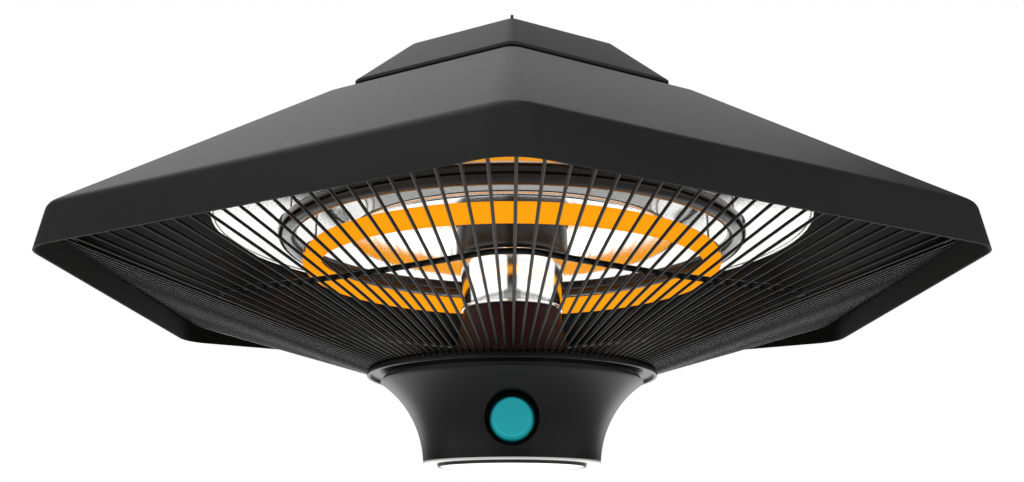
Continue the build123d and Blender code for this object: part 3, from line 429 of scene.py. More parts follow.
# The inside line of a sheet's outline, which ends level with it below and a wall lower above.
def insetOutline(outline, wall):
    lines = []
    for (a0, z0), (a1, z1) in zip(outline[:-1], outline[1:]):
        along = Vector((a1 - a0, z1 - z0)).normalized()
        lines.append((Vector((a0, z0)) - Vector((along.y, -along.x)) * wall, along))
    first, last = lines[0], lines[-1]
    points = [first[0] + first[1] * ((outline[0][1] - first[0].y) / first[1].y)]
    for (p, u), (q, v) in zip(lines[:-1], lines[1:]):
        cross = u.x * v.y - u.y * v.x
        step = ((q.x - p.x) * v.y - (q.y - p.y) * v.x) / cross
        points.append(p + u * step)
    top = outline[-1][1] - wall
    points.append(last[0] + last[1] * ((top - last[0].y) / last[1].y))
    return [tuple(p) for p in points]


# Folded six-sided sheets. Each row of an outline is the corner's reach, its rounding and the height.
canopy = {"outline": ((272.4, 26.0, -0.8), (267.0, 18.0, 22.4), (123.0, 10.0, 111.3)), "ridge": 8.0,
          "topEdge": 0.8, "wall": 1.2, "hole": 5.1}
cap = {"outline": ((106.6, 8.0, 122.0), (70.4, 5.0, 153.2)), "ridge": 0.0, "topEdge": 1.2, "wall": 1.2,
       "hole": 5.1}
leastRound = {"outside": 1.0, "inside": 0.6, "fold": 0.4}
foldAngle = 32.0  # what is bent more than this shows as a sharp edge


def sheetSections(s):
    wall, folds = s["wall"], len(s["outline"]) - 2
    outer = [(corner * cos(radians(30.0)), height) for corner, rounding, height in s["outline"]]
    inner = insetOutline(outer, wall)
    roundings = [(height, rounding) for corner, rounding, height in s["outline"]]
    insideRidge = max(s["ridge"] - wall, leastRound["fold"])
    up = roundOutline(outer + [(0.0, outer[-1][1])], [0] + [s["ridge"]] * folds + [s["topEdge"], 0],
                      closed=False, steps=6)[:-1]
    down = roundOutline(inner + [(0.0, inner[-1][1])], [0] + [insideRidge] * folds + [leastRound["fold"], 0],
                        closed=False, steps=6)[:-1]
    outside = [(a, max(interpolate(roundings, z), leastRound["outside"]), z) for a, z in up]
    inside = [(a, max(interpolate(roundings, z) - wall, leastRound["inside"]), z) for a, z in reversed(down)]
    return outside, inside


# The outside is sprayed evenly, and the inside has the darker coat, whose darkness is painted shade.
def foldSheet(name, s, node):
    outside, inside = sheetSections(s)
    top, under = outside[-1][2], inside[0][2]
    rings = [hexRing(*section) for section in outside]
    rings += [holeRing(s["hole"], top), holeRing(s["hole"], under)]
    rings += [hexRing(*section) for section in inside]
    bm = bmesh.new()
    addRings(bm, rings)
    piece = finishMesh(name, bm, powderCoat, node, angle=foldAngle)
    piece.data.materials.append(paintedShadeCoat)
    split = place(0, 0, top - s["wall"] / 3).z
    for face in piece.data.polygons:
        outward = Vector((face.center.x, face.center.y, 0)).normalized()
        facing = face.normal.dot(outward) + face.normal.z
        if facing < 0 and face.center.z < split:
            face.material_index = 1


foldSheet("canopy_cover", canopy, "top_cover")
print("canopy made")
foldSheet("cap_cover_shell", cap, "cap_cover")

tray = {"corner": 106.6, "rounding": 8.0, "low": 118.8, "high": 120.4, "edge": 0.5, "hole": 5.1}
edgeStep = 0.3  # the middle point of a rounded edge is this share of its size inside both faces


def makeTray(s):
    flat, low, high, edge = s["corner"] * cos(radians(30.0)), s["low"], s["high"], s["edge"]
    soft = edge * edgeStep
    steps = [(flat - edge, low), (flat - soft, low + soft), (flat, low + edge), (flat, high - edge),
             (flat - soft, high - soft), (flat - edge, high)]
    rings = [hexRing(a, s["rounding"], z) for a, z in steps]
    rings += [holeRing(s["hole"], high), holeRing(s["hole"], low)]
    bm = bmesh.new()
    addRings(bm, rings)
    # the tray under the cap takes the inside coat, darkened as painted shade
    finishMesh("cap_tray_plate", bm, paintedShadeCoat, "cap_tray", angle=foldAngle)


makeTray(tray)
print("cap made")

# The hanging lug: a flat plate with a round eye, on a turned boss.
lug = {"thick": 2.0, "reach": 11.0, "eye": 6.0, "low": 168.4, "edge": 0.35, "points": 96}
boss = {"bore": 5.1, "boreTop": 163.9, "radius": 10.0, "low": 154.8, "high": 169.8, "chamfer": 1.5,
        "lowEdge": 0.3, "edge": 0.4, "points": 72}


# Round above the eye, and straight down beside and below it.
def lugRing(s, across, inward):
    ring = []
    for k in range(s["points"]):
        a = 2 * pi * k / s["points"]
        y, z = sin(a), cos(a)
        reach = s["reach"] - inward
        if z < 0:
            reach = min(reach / max(abs(y), 1e-6), (eyeHeight - s["low"]) / -z)
        ring.append(place(across, reach * y, eyeHeight + reach * z))
    return ring


def eyeRing(s, across, outward):
    reach = s["eye"] + outward
    turns = [2 * pi * k / s["points"] for k in range(s["points"])]
    return [place(across, reach * sin(a), eyeHeight + reach * cos(a)) for a in turns]


def bossOutline(s):
    return roundOutline([(0.0, s["boreTop"]), (s["bore"], s["boreTop"]), (s["bore"], s["low"]),
                         (s["radius"], s["low"]), (s["radius"], s["high"] - s["chamfer"]),
                         (s["radius"] - s["chamfer"], s["high"]), (0.0, s["high"])],
                        [0, 0, 0, s["lowEdge"], s["edge"], s["edge"], 0], closed=False)


def makeLug(s):
    half, edge = s["thick"] / 2, s["edge"]
    soft = edge * edgeStep
    steps = ((-half, edge), (-half + soft, soft), (-half + edge, 0.0), (half - edge, 0.0),
             (half - soft, soft), (half, edge))
    rings = [lugRing(s, across, inward) for across, inward in steps]
    rings += [eyeRing(s, across, outward) for across, outward in reversed(steps)]
    bm = bmesh.new()
    addRings(bm, rings)
    addTurned(bm, bossOutline(boss), boss["points"])
    finishMesh("hanging_lug_welded", bm, powderCoat, "hanging_lug")


makeLug(lug)

# The cable gland: a six-sided foot and a fluted dome nut, with the thread below.
gland = {"place": 34.0, "low": 153.2, "flats": 22.0, "footHigh": 6.4, "footTrim": 1.12,
         "footLowChamfer": (0.4, 0.5), "footHighChamfer": (0.5, 0.6), "shoulder": 0.1, "dome": 9.9,
         "high": 16.0, "soft": 3.0, "softSteps": 8, "bore": 4.2, "boreEdge": 0.5, "flutes": 18,
         "fluteDepth": 0.35, "fluteFrom": 1.2, "fluteEnd": 0.6, "thread": 8.0, "threadDepth": 0.5,
         "pitch": 1.5, "drop": 11.0, "lead": 0.6, "threadFrom": 0.8, "runOut": 0.2, "points": 144}


def glandRing(s, radius, height, sides=0, flutes=0.0):
    ring = []
    for k in range(s["points"]):
        a = 2 * pi * k / s["points"]
        reach = radius
        if sides:
            off = (a + pi / sides) % (2 * pi / sides) - pi / sides
            reach = min(radius / cos(off), radius * s["footTrim"])
        reach -= flutes * (0.5 + 0.5 * cos(s["flutes"] * a))
        ring.append(place(reach * cos(a), s["place"] + reach * sin(a), s["low"] + height))
    return ring


def glandThread(s):
    root, crest, low = s["thread"] - s["threadDepth"], s["thread"], -s["drop"]
    rings = [glandRing(s, s["bore"], low), glandRing(s, root, low), glandRing(s, crest, low + s["lead"])]
    for k in range(int((s["drop"] - s["pitch"]) / s["pitch"])):
        foot = low + s["threadFrom"] + k * s["pitch"]
        rings += [glandRing(s, crest, foot), glandRing(s, root, foot + s["pitch"] / 2)]
    return rings + [glandRing(s, crest, -s["runOut"]), glandRing(s, crest, 0.0)]


def makeGland(s):
    flat, foot, dome, soft = s["flats"] / 2, s["footHigh"], s["dome"], s["soft"]
    domeTop, depth = s["high"] - soft, s["fluteDepth"]
    (lowIn, lowUp), (highIn, highDown) = s["footLowChamfer"], s["footHighChamfer"]
    rings = glandThread(s)
    for reach, height in ((flat - lowIn, 0.0), (flat, lowUp), (flat, foot - highDown), (flat - highIn, foot)):
        rings.append(glandRing(s, reach, height, sides=6))
    for height, flutes in ((foot + s["shoulder"], 0.0), (foot + s["fluteFrom"], depth),
                           (domeTop - s["fluteEnd"], depth), (domeTop, 0.0)):
        rings.append(glandRing(s, dome, height, flutes=flutes))
    for k in range(1, s["softSteps"] + 1):
        a = radians(90.0 * k / s["softSteps"])
        rings.append(glandRing(s, dome - soft + soft * cos(a), domeTop + soft * sin(a)))
    rings += [glandRing(s, s["bore"] + s["boreEdge"], s["high"]),
              glandRing(s, s["bore"], s["high"] - s["boreEdge"])]
    bm = bmesh.new()
    addRings(bm, rings)
    finishMesh("cable_gland_moulded", bm, blackNylon, "cable_gland", angle=35.0)


makeGland(gland)
print("lug and gland made")

reflector = {"hole": 5.1, "flat": 128.0, "height": 62.0, "bend": 60.0, "rim": 178.5, "rimHeight": 44.0,
             "wall": 0.8, "bead": 1.3, "beadJoin": 1.365, "beadArc": (-150.0, 140.0), "beadSteps": 12}


# The sheet ends in a curled bead, and joins it a little inside the bead's middle.
def dishOutline(s):
    wall, rim, bead, height, join = s["wall"], s["rim"], s["bead"], s["rimHeight"], s["beadJoin"]
    slope = (s["height"] - height) / (rim - s["flat"])
    lower = roundOutline([(s["hole"], s["height"]), (s["flat"], s["height"]),
                          (rim - join, height + join * slope)], [0, s["bend"], 0], closed=False, steps=14)
    start, end = s["beadArc"]
    turns = [radians(start + (end - start) * k / s["beadSteps"]) for k in range(s["beadSteps"] + 1)]
    curl = [(rim + bead * cos(a), height + wall / 2 + bead * sin(a)) for a in turns]
    return lower + curl + [(r, z + wall) for r, z in reversed(lower)]


lathe("reflector_dish_spun", dishOutline(reflector), brightSheet, "reflector_dish", segments=240)

# The lower pan: a raised middle, an upright edge, and a hollow bend out to a flange under the dish.
dome = {"hole": 5.1, "inner": 34.0, "innerBend": 14.0, "rise": 8.0, "edge": 99.5, "low": 37.0,
        "edgeBend": 3.0, "upright": 8.0, "insideCorner": (2.6, 1.0), "cove": 16.5, "flangeEnd": 117.5,
        "top": 62.0, "wall": 0.8}


def domeCove(s, radius, steps=16):
    middle = (s["edge"] + s["cove"], s["top"] - s["wall"] - s["cove"])
    angles = [radians(180.0 - 90.0 * k / steps) for k in range(steps + 1)]
    return [(middle[0] + radius * cos(a), middle[1] + radius * sin(a)) for a in angles]


def domeOutline(s):
    low, high, wall, edge = s["low"], s["low"] + s["rise"], s["wall"], s["edge"]
    lower = roundOutline([(s["hole"], high), (s["inner"], high), (edge, low), (edge, low + s["upright"])],
                         [0, s["innerBend"], s["edgeBend"], 0], closed=False, steps=8)[:-1]
    inwards, upwards = s["insideCorner"]
    upper = [(edge - wall, low + s["edgeBend"]), (edge - inwards, low + upwards), (s["inner"], high + wall),
             (s["hole"], high + wall)]
    flange = [(s["flangeEnd"], s["top"] - wall), (s["flangeEnd"], s["top"])]
    return lower + domeCove(s, s["cove"]) + flange + domeCove(s, s["cove"] + wall)[::-1] + upper


lathe("reflector_dome_spun", domeOutline(dome), polishedSheet, "reflector_dome", segments=240)

# The column from above: collar, tapered sleeve, flange and flared neck. Roundings start at the inner low
# corner.
collar = {"inner": 5.1, "outer": 34.0, "low": 26.5, "top": 45.0, "roundings": (0, 3.5, 0.5, 0)}
sleeve = {"hole": 5.1, "top": 26.5, "topRadius": 31.8, "low": -3.5, "lowRadius": 29.2, "wall": 0.8,
          "edge": 0.25}
flange = {"inner": 25.2, "outer": 30.6, "low": -6.0, "top": -3.5, "roundings": (0.2, 1.1, 1.1, 0.2)}
neck = {"top": -6.0, "topRadius": 29.4, "middleRadius": 33.2, "low": -47.0, "lowRadius": 39.5, "wall": 1.5,
        "steps": 16}


def sleeveOutline(s):
    wall = s["wall"]
    return roundOutline([(s["hole"], s["top"]), (s["topRadius"], s["top"]), (s["lowRadius"], s["low"]),
                         (s["lowRadius"] - wall, s["low"]), (s["topRadius"] - wall, s["top"] - wall),
                         (s["hole"], s["top"] - wall)], s["edge"])


# One smooth flare through the radii at its top, its middle and its foot.
def neckOutline(s):
    outside = []
    for k in range(s["steps"] + 1):
        t = k / s["steps"]
        top, middle, low = (1 - t) * (1 - 2 * t), 4 * t * (1 - t), t * (2 * t - 1)
        radius = top * s["topRadius"] + middle * s["middleRadius"] + low * s["lowRadius"]
        outside.append((radius, s["top"] + (s["low"] - s["top"]) * t))
    return outside + [(r - s["wall"], z) for r, z in reversed(outside)]


lathe("column_collar_glazed", fourCorners(collar, steps=6), glazedBlack, "column_collar", segments=120)
lathe("column_sleeve_polished", sleeveOutline(sleeve), polishedSheet, "column_sleeve", segments=160)
lathe("column_flange_polished", fourCorners(flange, steps=5), polishedSheet, "column_flange", segments=160)
lathe("neck_shroud_painted", neckOutline(neck), heatPaint, "neck_shroud", segments=160)
print("reflectors and column made")

# A channel that is open below, with its lip over the housing. Roundings go in the outline's order.
bezel = {"inner": 70.0, "outer": 85.3, "top": -43.4, "low": -46.2, "foot": -47.0, "wall": 2.0, "web": 1.0,
         "roundings": (0, 0.9, 0.8, 0.5, 0.2, 0.2, 0, 0)}


def bezelOutline(s):
    inner, outer, wall, under = s["inner"], s["outer"], s["wall"], s["top"] - s["web"]
    return roundOutline([(inner, s["top"]), (outer, s["top"]), (outer, s["low"]), (outer - wall, s["low"]),
                         (outer - wall, under), (inner + wall, under), (inner + wall, s["foot"]),
                         (inner, s["foot"])], s["roundings"], steps=5)


lathe("bezel_ring_moulded", bezelOutline(bezel), satinAbs, "bezel_ring", segments=200)

# The flare is an arc whose middle lies outside the shell. The button's hole is cut along the button's axis.
housing = {"top": -49.0, "low": -94.8, "flare": 58.2, "middleRadius": 109.7, "middleHeight": -97.7,
           "wall": 2.0, "steps": 28, "topEdge": 0.35, "lowEdge": 0.3, "buttonHeight": -74.2, "hole": 14.9,
           "cut": (30.0, 90.0)}


def flareRadius(s, height, inward=0.0):
    return s["middleRadius"] - sqrt((s["flare"] + inward) ** 2 - (height - s["middleHeight"]) ** 2)


def housingOutline(s):
    top, low, topEdge, lowEdge = s["top"], s["low"], s["topEdge"], s["lowEdge"]
    heights = [top + (low - top) * k / s["steps"] for k in range(s["steps"] + 1)]
    outside = [(flareRadius(s, z), z) for z in heights]
    inside = [(flareRadius(s, z, s["wall"]), z) for z in reversed(heights)]
    chamferTop = [(outside[0][0] - topEdge, top), (flareRadius(s, top - topEdge), top - topEdge)]
    chamferLow = [(flareRadius(s, low + lowEdge), low + lowEdge), (outside[-1][0] - lowEdge, low)]
    return chamferTop + outside[1:-1] + chamferLow + inside


# A turned shape whose axis points to the front, through the button's middle.
def turnToFront(outline, segments):
    bm = bmesh.new()
    addTurned(bm, outline, segments)
    middle, origin = place(0, 0, housing["buttonHeight"]), place(0, 0, 0)
    turn = Matrix.Translation(middle) @ Matrix.Rotation(radians(90.0), 4, "X") @ Matrix.Translation(-origin)
    bmesh.ops.transform(bm, matrix=turn, verts=bm.verts)
    return bm


# Cuts a closed piece with a closed shape and leaves no modifier.
def cutWith(piece, bm, angle=40.0):
    mesh = bpy.data.meshes.new("cutter")
    bmesh.ops.recalc_face_normals(bm, faces=bm.faces)
    bm.to_mesh(mesh)
    bm.free()
    cutter = addObject("cutter", mesh)
    modifier = piece.modifiers.new("cut", "BOOLEAN")
    modifier.operation = "DIFFERENCE"
    modifier.solver = "EXACT"
    modifier.object = cutter
    uncut = piece.data
    piece.data = evaluatedMesh(piece)
    piece.modifiers.clear()
    piece.data.set_sharp_from_angle(angle=radians(angle))
    bpy.data.meshes.remove(uncut)
    bpy.data.objects.remove(cutter)


housingShell = lathe("housing_shell_moulded", housingOutline(housing), satinAbs, "housing_shell",
                     segments=192)
cutFrom, cutTo = housing["cut"]
cutWith(housingShell, turnToFront([(0.0, cutFrom), (housing["hole"], cutFrom), (housing["hole"], cutTo),
                                   (0.0, cutTo)], segments=96))

# A flat ring with a low wall that stands in the housing. Roundings go in the outline's order.
trim = {"inner": 43.3, "outer": 51.5, "low": -95.8, "high": -94.8, "wallOuter": 49.3, "wall": 2.2,
        "rise": 3.0, "roundings": (0.1, 0.35, 0.15, 0, 0.2, 0.2, 0, 0.1)}


def trimOutline(s):
    wallTop, wallInner = s["high"] + s["rise"], s["wallOuter"] - s["wall"]
    return roundOutline([(s["inner"], s["low"]), (s["outer"], s["low"]), (s["outer"], s["high"]),
                         (s["wallOuter"], s["high"]), (s["wallOuter"], wallTop), (wallInner, wallTop),
                         (wallInner, s["high"]), (s["inner"], s["high"])], s["roundings"])


lathe("trim_ring_moulded", trimOutline(trim), whiteAbs, "trim_ring", segments=160)

# The lens ring hangs by its flange on the trim ring, and its ledge holds the board over the diffuser.
lens = {"outer": 43.2, "wall": 1.6, "low": -97.5, "height": 4.5, "fit": 0.1, "ledge": 2.2, "ledgeThick": 1.0,
        "flange": 3.5, "flangeLow": -94.8, "flangeThick": 1.2,
        "roundings": (0.3, 0.5, 0, 0.2, 0.2, 0, 0.2, 0.2, 0.2, 0)}
diffuser = {"inner": 0.0, "outer": lens["outer"] - lens["wall"] - lens["fit"], "low": lens["low"],
            "top": -96.0, "roundings": (0, 0.4, 0.2, 0)}


def lensOutline(s):
    outer, inner, top = s["outer"], s["outer"] - s["wall"], s["low"] + s["height"]
    flangeTop, ledgeLow = s["flangeLow"] + s["flangeThick"], top - s["ledgeThick"]
    return roundOutline([(inner, s["low"]), (outer, s["low"]), (outer, s["flangeLow"]),
                         (outer + s["flange"], s["flangeLow"]), (outer + s["flange"], flangeTop),
                         (outer, flangeTop), (outer, top), (inner - s["ledge"], top),
                         (inner - s["ledge"], ledgeLow), (inner, ledgeLow)], s["roundings"])


lathe("lens_ring_moulded", lensOutline(lens), blackNylon, "lens_ring", segments=160)
lathe("diffuser_lens_opal", fourCorners(diffuser), opalAcrylic, "diffuser_lens", segments=160)
print("housing made")

button = {"face": 59.0, "faceRadius": 10.3, "faceEdge": 1.0, "length": 12.0, "baseRadius": 12.6,
          "baseEdge": 0.5, "stem": 5.0, "stemLength": 5.0, "stemEdge": 0.4}


def buttonOutline(s):
    base, stemEnd = s["face"] - s["length"], s["face"] - s["length"] - s["stemLength"]
    return roundOutline([(0.0, stemEnd), (s["stem"], stemEnd), (s["stem"], base), (s["baseRadius"], base),
                         (s["faceRadius"], s["face"]), (0.0, s["face"])],
                        [0, s["stemEdge"], 0, s["baseEdge"], s["faceEdge"], 0], closed=False, steps=6)


finishMesh("push_button_cap", turnToFront(buttonOutline(button), segments=120), tealAbs, "button_cap",
           "button")
print("button made")


# A tree's inputs are its sizes, its counts and the finish of what it makes.
def newTree(name, sizes, counts=()):
    tree = bpy.data.node_groups.new(name, "GeometryNodeTree")
    tree.interface.new_socket(name="Geometry", in_out="OUTPUT", socket_type="NodeSocketGeometry")
    for label in sizes:
        tree.interface.new_socket(name=label, in_out="INPUT", socket_type="NodeSocketFloat")
    for label in counts:
        tree.interface.new_socket(name=label, in_out="INPUT", socket_type="NodeSocketInt")
    tree.interface.new_socket(name="finish", in_out="INPUT", socket_type="NodeSocketMaterial")
    return tree, addNode(tree, "NodeGroupInput").outputs


def endTree(tree, geometry, finish):
    real = addNode(tree, "GeometryNodeRealizeInstances", None, {0: geometry})
    smooth = addNode(tree, "GeometryNodeSetShadeSmooth", None, {0: real.outputs[0]})
    dressed = addNode(tree, "GeometryNodeSetMaterial", None,
                      {"Geometry": smooth.outputs[0], "Material": finish})
    addNode(tree, "NodeGroupOutput", None, {0: dressed.outputs[0]})
    return tree


# Sweeps a round section along a curve.
def addRod(tree, curve, radius, corners, capped=False):
    section = addNode(tree, "GeometryNodeCurvePrimitiveCircle", {"mode": "RADIUS", "Resolution": corners},
                      {"Radius": radius})
    return addNode(tree, "GeometryNodeCurveToMesh", {"Fill Caps": capped},
                   {"Curve": curve, "Profile Curve": section.outputs[0]}).outputs[0]


# A piece's settings in metres, with its heights in the frame. Those in others aren't lengths.
def inMetres(s, heights, others=()):
    values = {key: value / 1000.0 for key, value in s.items() if key not in others}
    values.update({key: place(0, 0, s[key]).z for key in heights})
    return values


# Runs a tree with its inputs and keeps the result as a plain mesh.
def growPiece(name, tree, values, finish, node):
    holder = addObject(name + "_seed", bpy.data.meshes.new(name + "_seed"))
    modifier = holder.modifiers.new("grow", "NODES")
    modifier.node_group = tree
    for item in tree.interface.items_tree:
        if item.in_out == "INPUT":
            modifier[item.identifier] = finish if item.name == "finish" else values[item.name]
    mesh = evaluatedMesh(holder)
    mesh.name = name
    bpy.data.objects.remove(holder)
    return finishPiece(name, mesh, node)


# An open ring of round tube, its gap at the back.
def makeRingTree():
    tree, get = newTree("ring_tube_tree", ("ringRadius", "tubeRadius", "height", "gapAngle"))
    start = addNode(tree, "ShaderNodeMath", {"operation": "ADD", 0: pi / 2}, {1: get["gapAngle"]})
    twice = addNode(tree, "ShaderNodeMath", {"operation": "MULTIPLY", 0: -2.0}, {1: get["gapAngle"]})
    sweep = addNode(tree, "ShaderNodeMath", {"operation": "ADD", 0: 2 * pi}, {1: twice.outputs[0]})
    arc = addNode(tree, "GeometryNodeCurveArc", {"mode": "RADIUS", "Resolution": 240},
                  {"Radius": get["ringRadius"], "Start Angle": start.outputs[0],
                   "Sweep Angle": sweep.outputs[0]})
    lift = addNode(tree, "ShaderNodeCombineXYZ", None, {2: get["height"]})
    moved = addNode(tree, "GeometryNodeTransform", None, {"Geometry": arc.outputs[0],
                                                          "Translation": lift.outputs[0]})
    tube = addRod(tree, moved.outputs[0], get["tubeRadius"], corners=28, capped=True)
    return endTree(tree, tube, get["finish"])


# The gap is measured along the ring, from the middle of the back to the tube's end.
ringTree = makeRingTree()
ringTubes = (("lit_ring_tube", litQuartz, "lit_tube", {"ringRadius": 120.0, "height": 21.4}),
             ("unlit_ring_tube", darkQuartz, "unlit_tube", {"ringRadius": 135.0, "height": 36.8}))
ringTube = {"tubeRadius": 5.6, "gap": 22.0}
for name, finish, node, s in ringTubes:
    values = inMetres(s | ringTube, ("height",))
    values["gapAngle"] = values["gap"] / values["ringRadius"]
    growPiece(name, ringTree, values, finish, node)
print("ring tubes grown")


# A wound spring whose axis points to the front.
def makeSpringTree():
    tree, get = newTree("wound_spring_tree",
                        ("coilRadius", "wireRadius", "turns", "length", "back", "height"))
    coil = addNode(tree, "GeometryNodeCurveSpiral", {"Resolution": 40},
                   {"Rotations": get["turns"], "Start Radius": get["coilRadius"],
                    "End Radius": get["coilRadius"], "Height": get["length"]})
    spot = addNode(tree, "ShaderNodeCombineXYZ", None, {1: get["back"], 2: get["height"]})
    turned = addNode(tree, "GeometryNodeTransform", {"Rotation": (pi / 2, 0.0, 0.0)},
                     {"Geometry": coil.outputs[0], "Translation": spot.outputs[0]})
    wire = addRod(tree, turned.outputs[0], get["wireRadius"], corners=16, capped=True)
    return endTree(tree, wire, get["finish"])


# The spring lies between the well's floor and the button, and shortens as the button goes in.
spring = {"outer": 7.0, "wireRadius": 0.55, "turns": 3.5, "floor": 40.0, "space": 7.0, "travel": 3.0,
          "seat": 0.02}
springEnd = spring["wireRadius"] + spring["seat"]
springValues = inMetres({
    "coilRadius": spring["outer"] - spring["wireRadius"], "wireRadius": spring["wireRadius"],
    "length": spring["space"] - 2 * springEnd, "back": -spring["floor"] - springEnd,
    "height": housing["buttonHeight"]}, ("height",))
springValues["turns"] = spring["turns"]
buttonSpring = growPiece("button_spring_wound", makeSpringTree(), springValues, springSteel, "button_spring")
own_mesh(buttonSpring)
print("button spring wound")


# A closed six-sided curve with rounded corners, one corner to the front.
def addSixSides(tree, corner, rounding, height=None):
    hexagon = addNode(tree, "GeometryNodeCurvePrimitiveCircle", {"mode": "RADIUS", "Resolution": 6},
                      {"Radius": corner})
    lift = addNode(tree, "ShaderNodeCombineXYZ", None, {} if height is None else {2: height})
    turned = addNode(tree, "GeometryNodeTransform", {"Rotation": (0, 0, -pi / 2)},
                     {"Geometry": hexagon.outputs[0], "Translation": lift.outputs[0]})
    rounded = addNode(tree, "GeometryNodeFilletCurve", {"mode": "POLY", "Count": 16},
                      {"Curve": turned.outputs[0], "Radius": rounding})
    return rounded.outputs[0]


# Where a ray from the axis meets the rim's outline, found half way up a low wall that stands on it.
def addRimHit(tree, get, direction, wallHeight=0.002):
    rim = addSixSides(tree, get["rimCorner"], get["rimRounding"])
    line = addNode(tree, "GeometryNodeCurveToMesh", None, {"Curve": rim})
    upward = addNode(tree, "ShaderNodeCombineXYZ", {2: wallHeight})
    wall = addNode(tree, "GeometryNodeExtrudeMesh", {"mode": "EDGES", "Offset Scale": 1.0},
                   {"Mesh": line.outputs[0], "Offset": upward.outputs[0]})
    middle = addNode(tree, "ShaderNodeCombineXYZ", {2: wallHeight / 2})
    hit = addNode(tree, "GeometryNodeRaycast", {"Ray Length": 1.0},
                  {"Target Geometry": wall.outputs[0], "Source Position": middle.outputs[0],
                   "Ray Direction": direction})
    return hit.outputs["Hit Position"]


# Straight wires from the six-sided rim to the hub ring, each a stick that is turned and stretched.
def addGuardWires(tree, get):
    rimLift = addNode(tree, "ShaderNodeCombineXYZ", None, {2: get["rimHeight"]}).outputs[0]
    hubLift = addNode(tree, "ShaderNodeCombineXYZ", None, {2: get["hubHeight"]}).outputs[0]
    index = addNode(tree, "GeometryNodeInputIndex").outputs[0]
    turn = addNode(tree, "ShaderNodeMath", {"operation": "MULTIPLY_ADD"},
                   {0: index, 1: get["wireStep"], 2: get["firstTurn"]}).outputs[0]
    direction = addNode(tree, "ShaderNodeVectorRotate", {"rotation_type": "Z_AXIS", "Vector": (1, 0, 0)},
                        {"Angle": turn}).outputs[0]
    outer = addNode(tree, "ShaderNodeVectorMath", {"operation": "MULTIPLY_ADD", 1: (1, 1, 0)},
                    {0: addRimHit(tree, get, direction), 2: rimLift}).outputs[0]
    hub = addNode(tree, "ShaderNodeVectorMath", {"operation": "MULTIPLY_ADD"},
                  {0: direction, 1: get["hubRadius"], 2: hubLift}).outputs[0]
    along = addNode(tree, "ShaderNodeVectorMath", {"operation": "SUBTRACT"}, {0: hub, 1: outer}).outputs[0]
    reach = addNode(tree, "ShaderNodeVectorMath", {"operation": "LENGTH"}, {0: along}).outputs["Value"]
    points = addNode(tree, "GeometryNodePoints", None, {"Count": get["wireCount"], "Position": outer})
    stick = addNode(tree, "GeometryNodeMeshCylinder", {"Vertices": 10, "Depth": 1.0},
                    {"Radius": get["wireRadius"]})
    raised = addNode(tree, "GeometryNodeTransform", {"Translation": (0, 0, 0.5)},
                     {"Geometry": stick.outputs[0]})
    aim = addNode(tree, "FunctionNodeAlignRotationToVector", {"axis": "Z"}, {"Vector": along})
    stretch = addNode(tree, "ShaderNodeCombineXYZ", {0: 1.0, 1: 1.0}, {2: reach})
    return addNode(tree, "GeometryNodeInstanceOnPoints", None,
                   {"Points": points.outputs[0], "Instance": raised.outputs[0], "Rotation": aim.outputs[0],
                    "Scale": stretch.outputs[0]}).outputs[0]


# The six-sided support ring, lifted at each point to lie on the wires.
def addGuardRing(tree, get):
    outline = addSixSides(tree, get["ringCorner"], get["ringRounding"])
    loop = addNode(tree, "GeometryNodeResampleCurve", {"mode": "COUNT", "Count": 360}, {"Curve": outline})
    spot = addNode(tree, "GeometryNodeInputPosition").outputs[0]
    spotReach = addNode(tree, "ShaderNodeVectorMath", {"operation": "LENGTH"}, {0: spot}).outputs["Value"]
    rimSpot = addRimHit(tree, get, spot)
    rimReach = addNode(tree, "ShaderNodeVectorMath", {"operation": "LENGTH"}, {0: rimSpot}).outputs["Value"]
    onWires = addNode(tree, "ShaderNodeMapRange", None,
                      {0: spotReach, 1: get["hubRadius"], 2: rimReach, 3: get["hubHeight"],
                       4: get["rimHeight"]}).outputs[0]
    onTop = addNode(tree, "ShaderNodeMath", {"operation": "ADD"}, {0: onWires, 1: get["ringLift"]})
    rise = addNode(tree, "ShaderNodeCombineXYZ", None, {2: onTop.outputs[0]})
    risen = addNode(tree, "GeometryNodeSetPosition", None,
                    {"Geometry": loop.outputs[0], "Offset": rise.outputs[0]})
    return addRod(tree, risen.outputs[0], get["ringRadius"], corners=12)


# The hub ring is a flat band with softened edges.
def addHubBand(tree, get):
    circle = addNode(tree, "GeometryNodeCurvePrimitiveCircle", {"mode": "RADIUS", "Resolution": 200},
                     {"Radius": get["bandRadius"]})
    strap = addNode(tree, "GeometryNodeCurvePrimitiveQuadrilateral", {"mode": "RECTANGLE"},
                    {"Width": get["bandWidth"], "Height": get["bandThick"]})
    softStrap = addNode(tree, "GeometryNodeFilletCurve", {"mode": "POLY", "Count": 3},
                        {"Curve": strap.outputs[0], "Radius": get["bandEdge"]})
    band = addNode(tree, "GeometryNodeCurveToMesh", None,
                   {"Curve": circle.outputs[0], "Profile Curve": softStrap.outputs[0]})
    lift = addNode(tree, "ShaderNodeCombineXYZ", None, {2: get["bandHeight"]})
    return addNode(tree, "GeometryNodeTransform", None,
                   {"Geometry": band.outputs[0], "Translation": lift.outputs[0]}).outputs[0]


def makeGuardTree():
    tree, get = newTree("wire_guard_tree", (
        "wireStep", "firstTurn", "wireRadius", "rimCorner", "rimRounding", "rimHeight", "hubRadius",
        "hubHeight", "ringCorner", "ringRounding", "ringRadius", "ringLift", "bandRadius", "bandWidth",
        "bandThick", "bandEdge", "bandHeight"), ("wireCount",))
    joined = addNode(tree, "GeometryNodeJoinGeometry")
    for part in (addGuardWires(tree, get), addGuardRing(tree, get), addHubBand(tree, get)):
        tree.links.new(part, joined.inputs[0])
    return endTree(tree, joined.outputs[0], get["finish"])


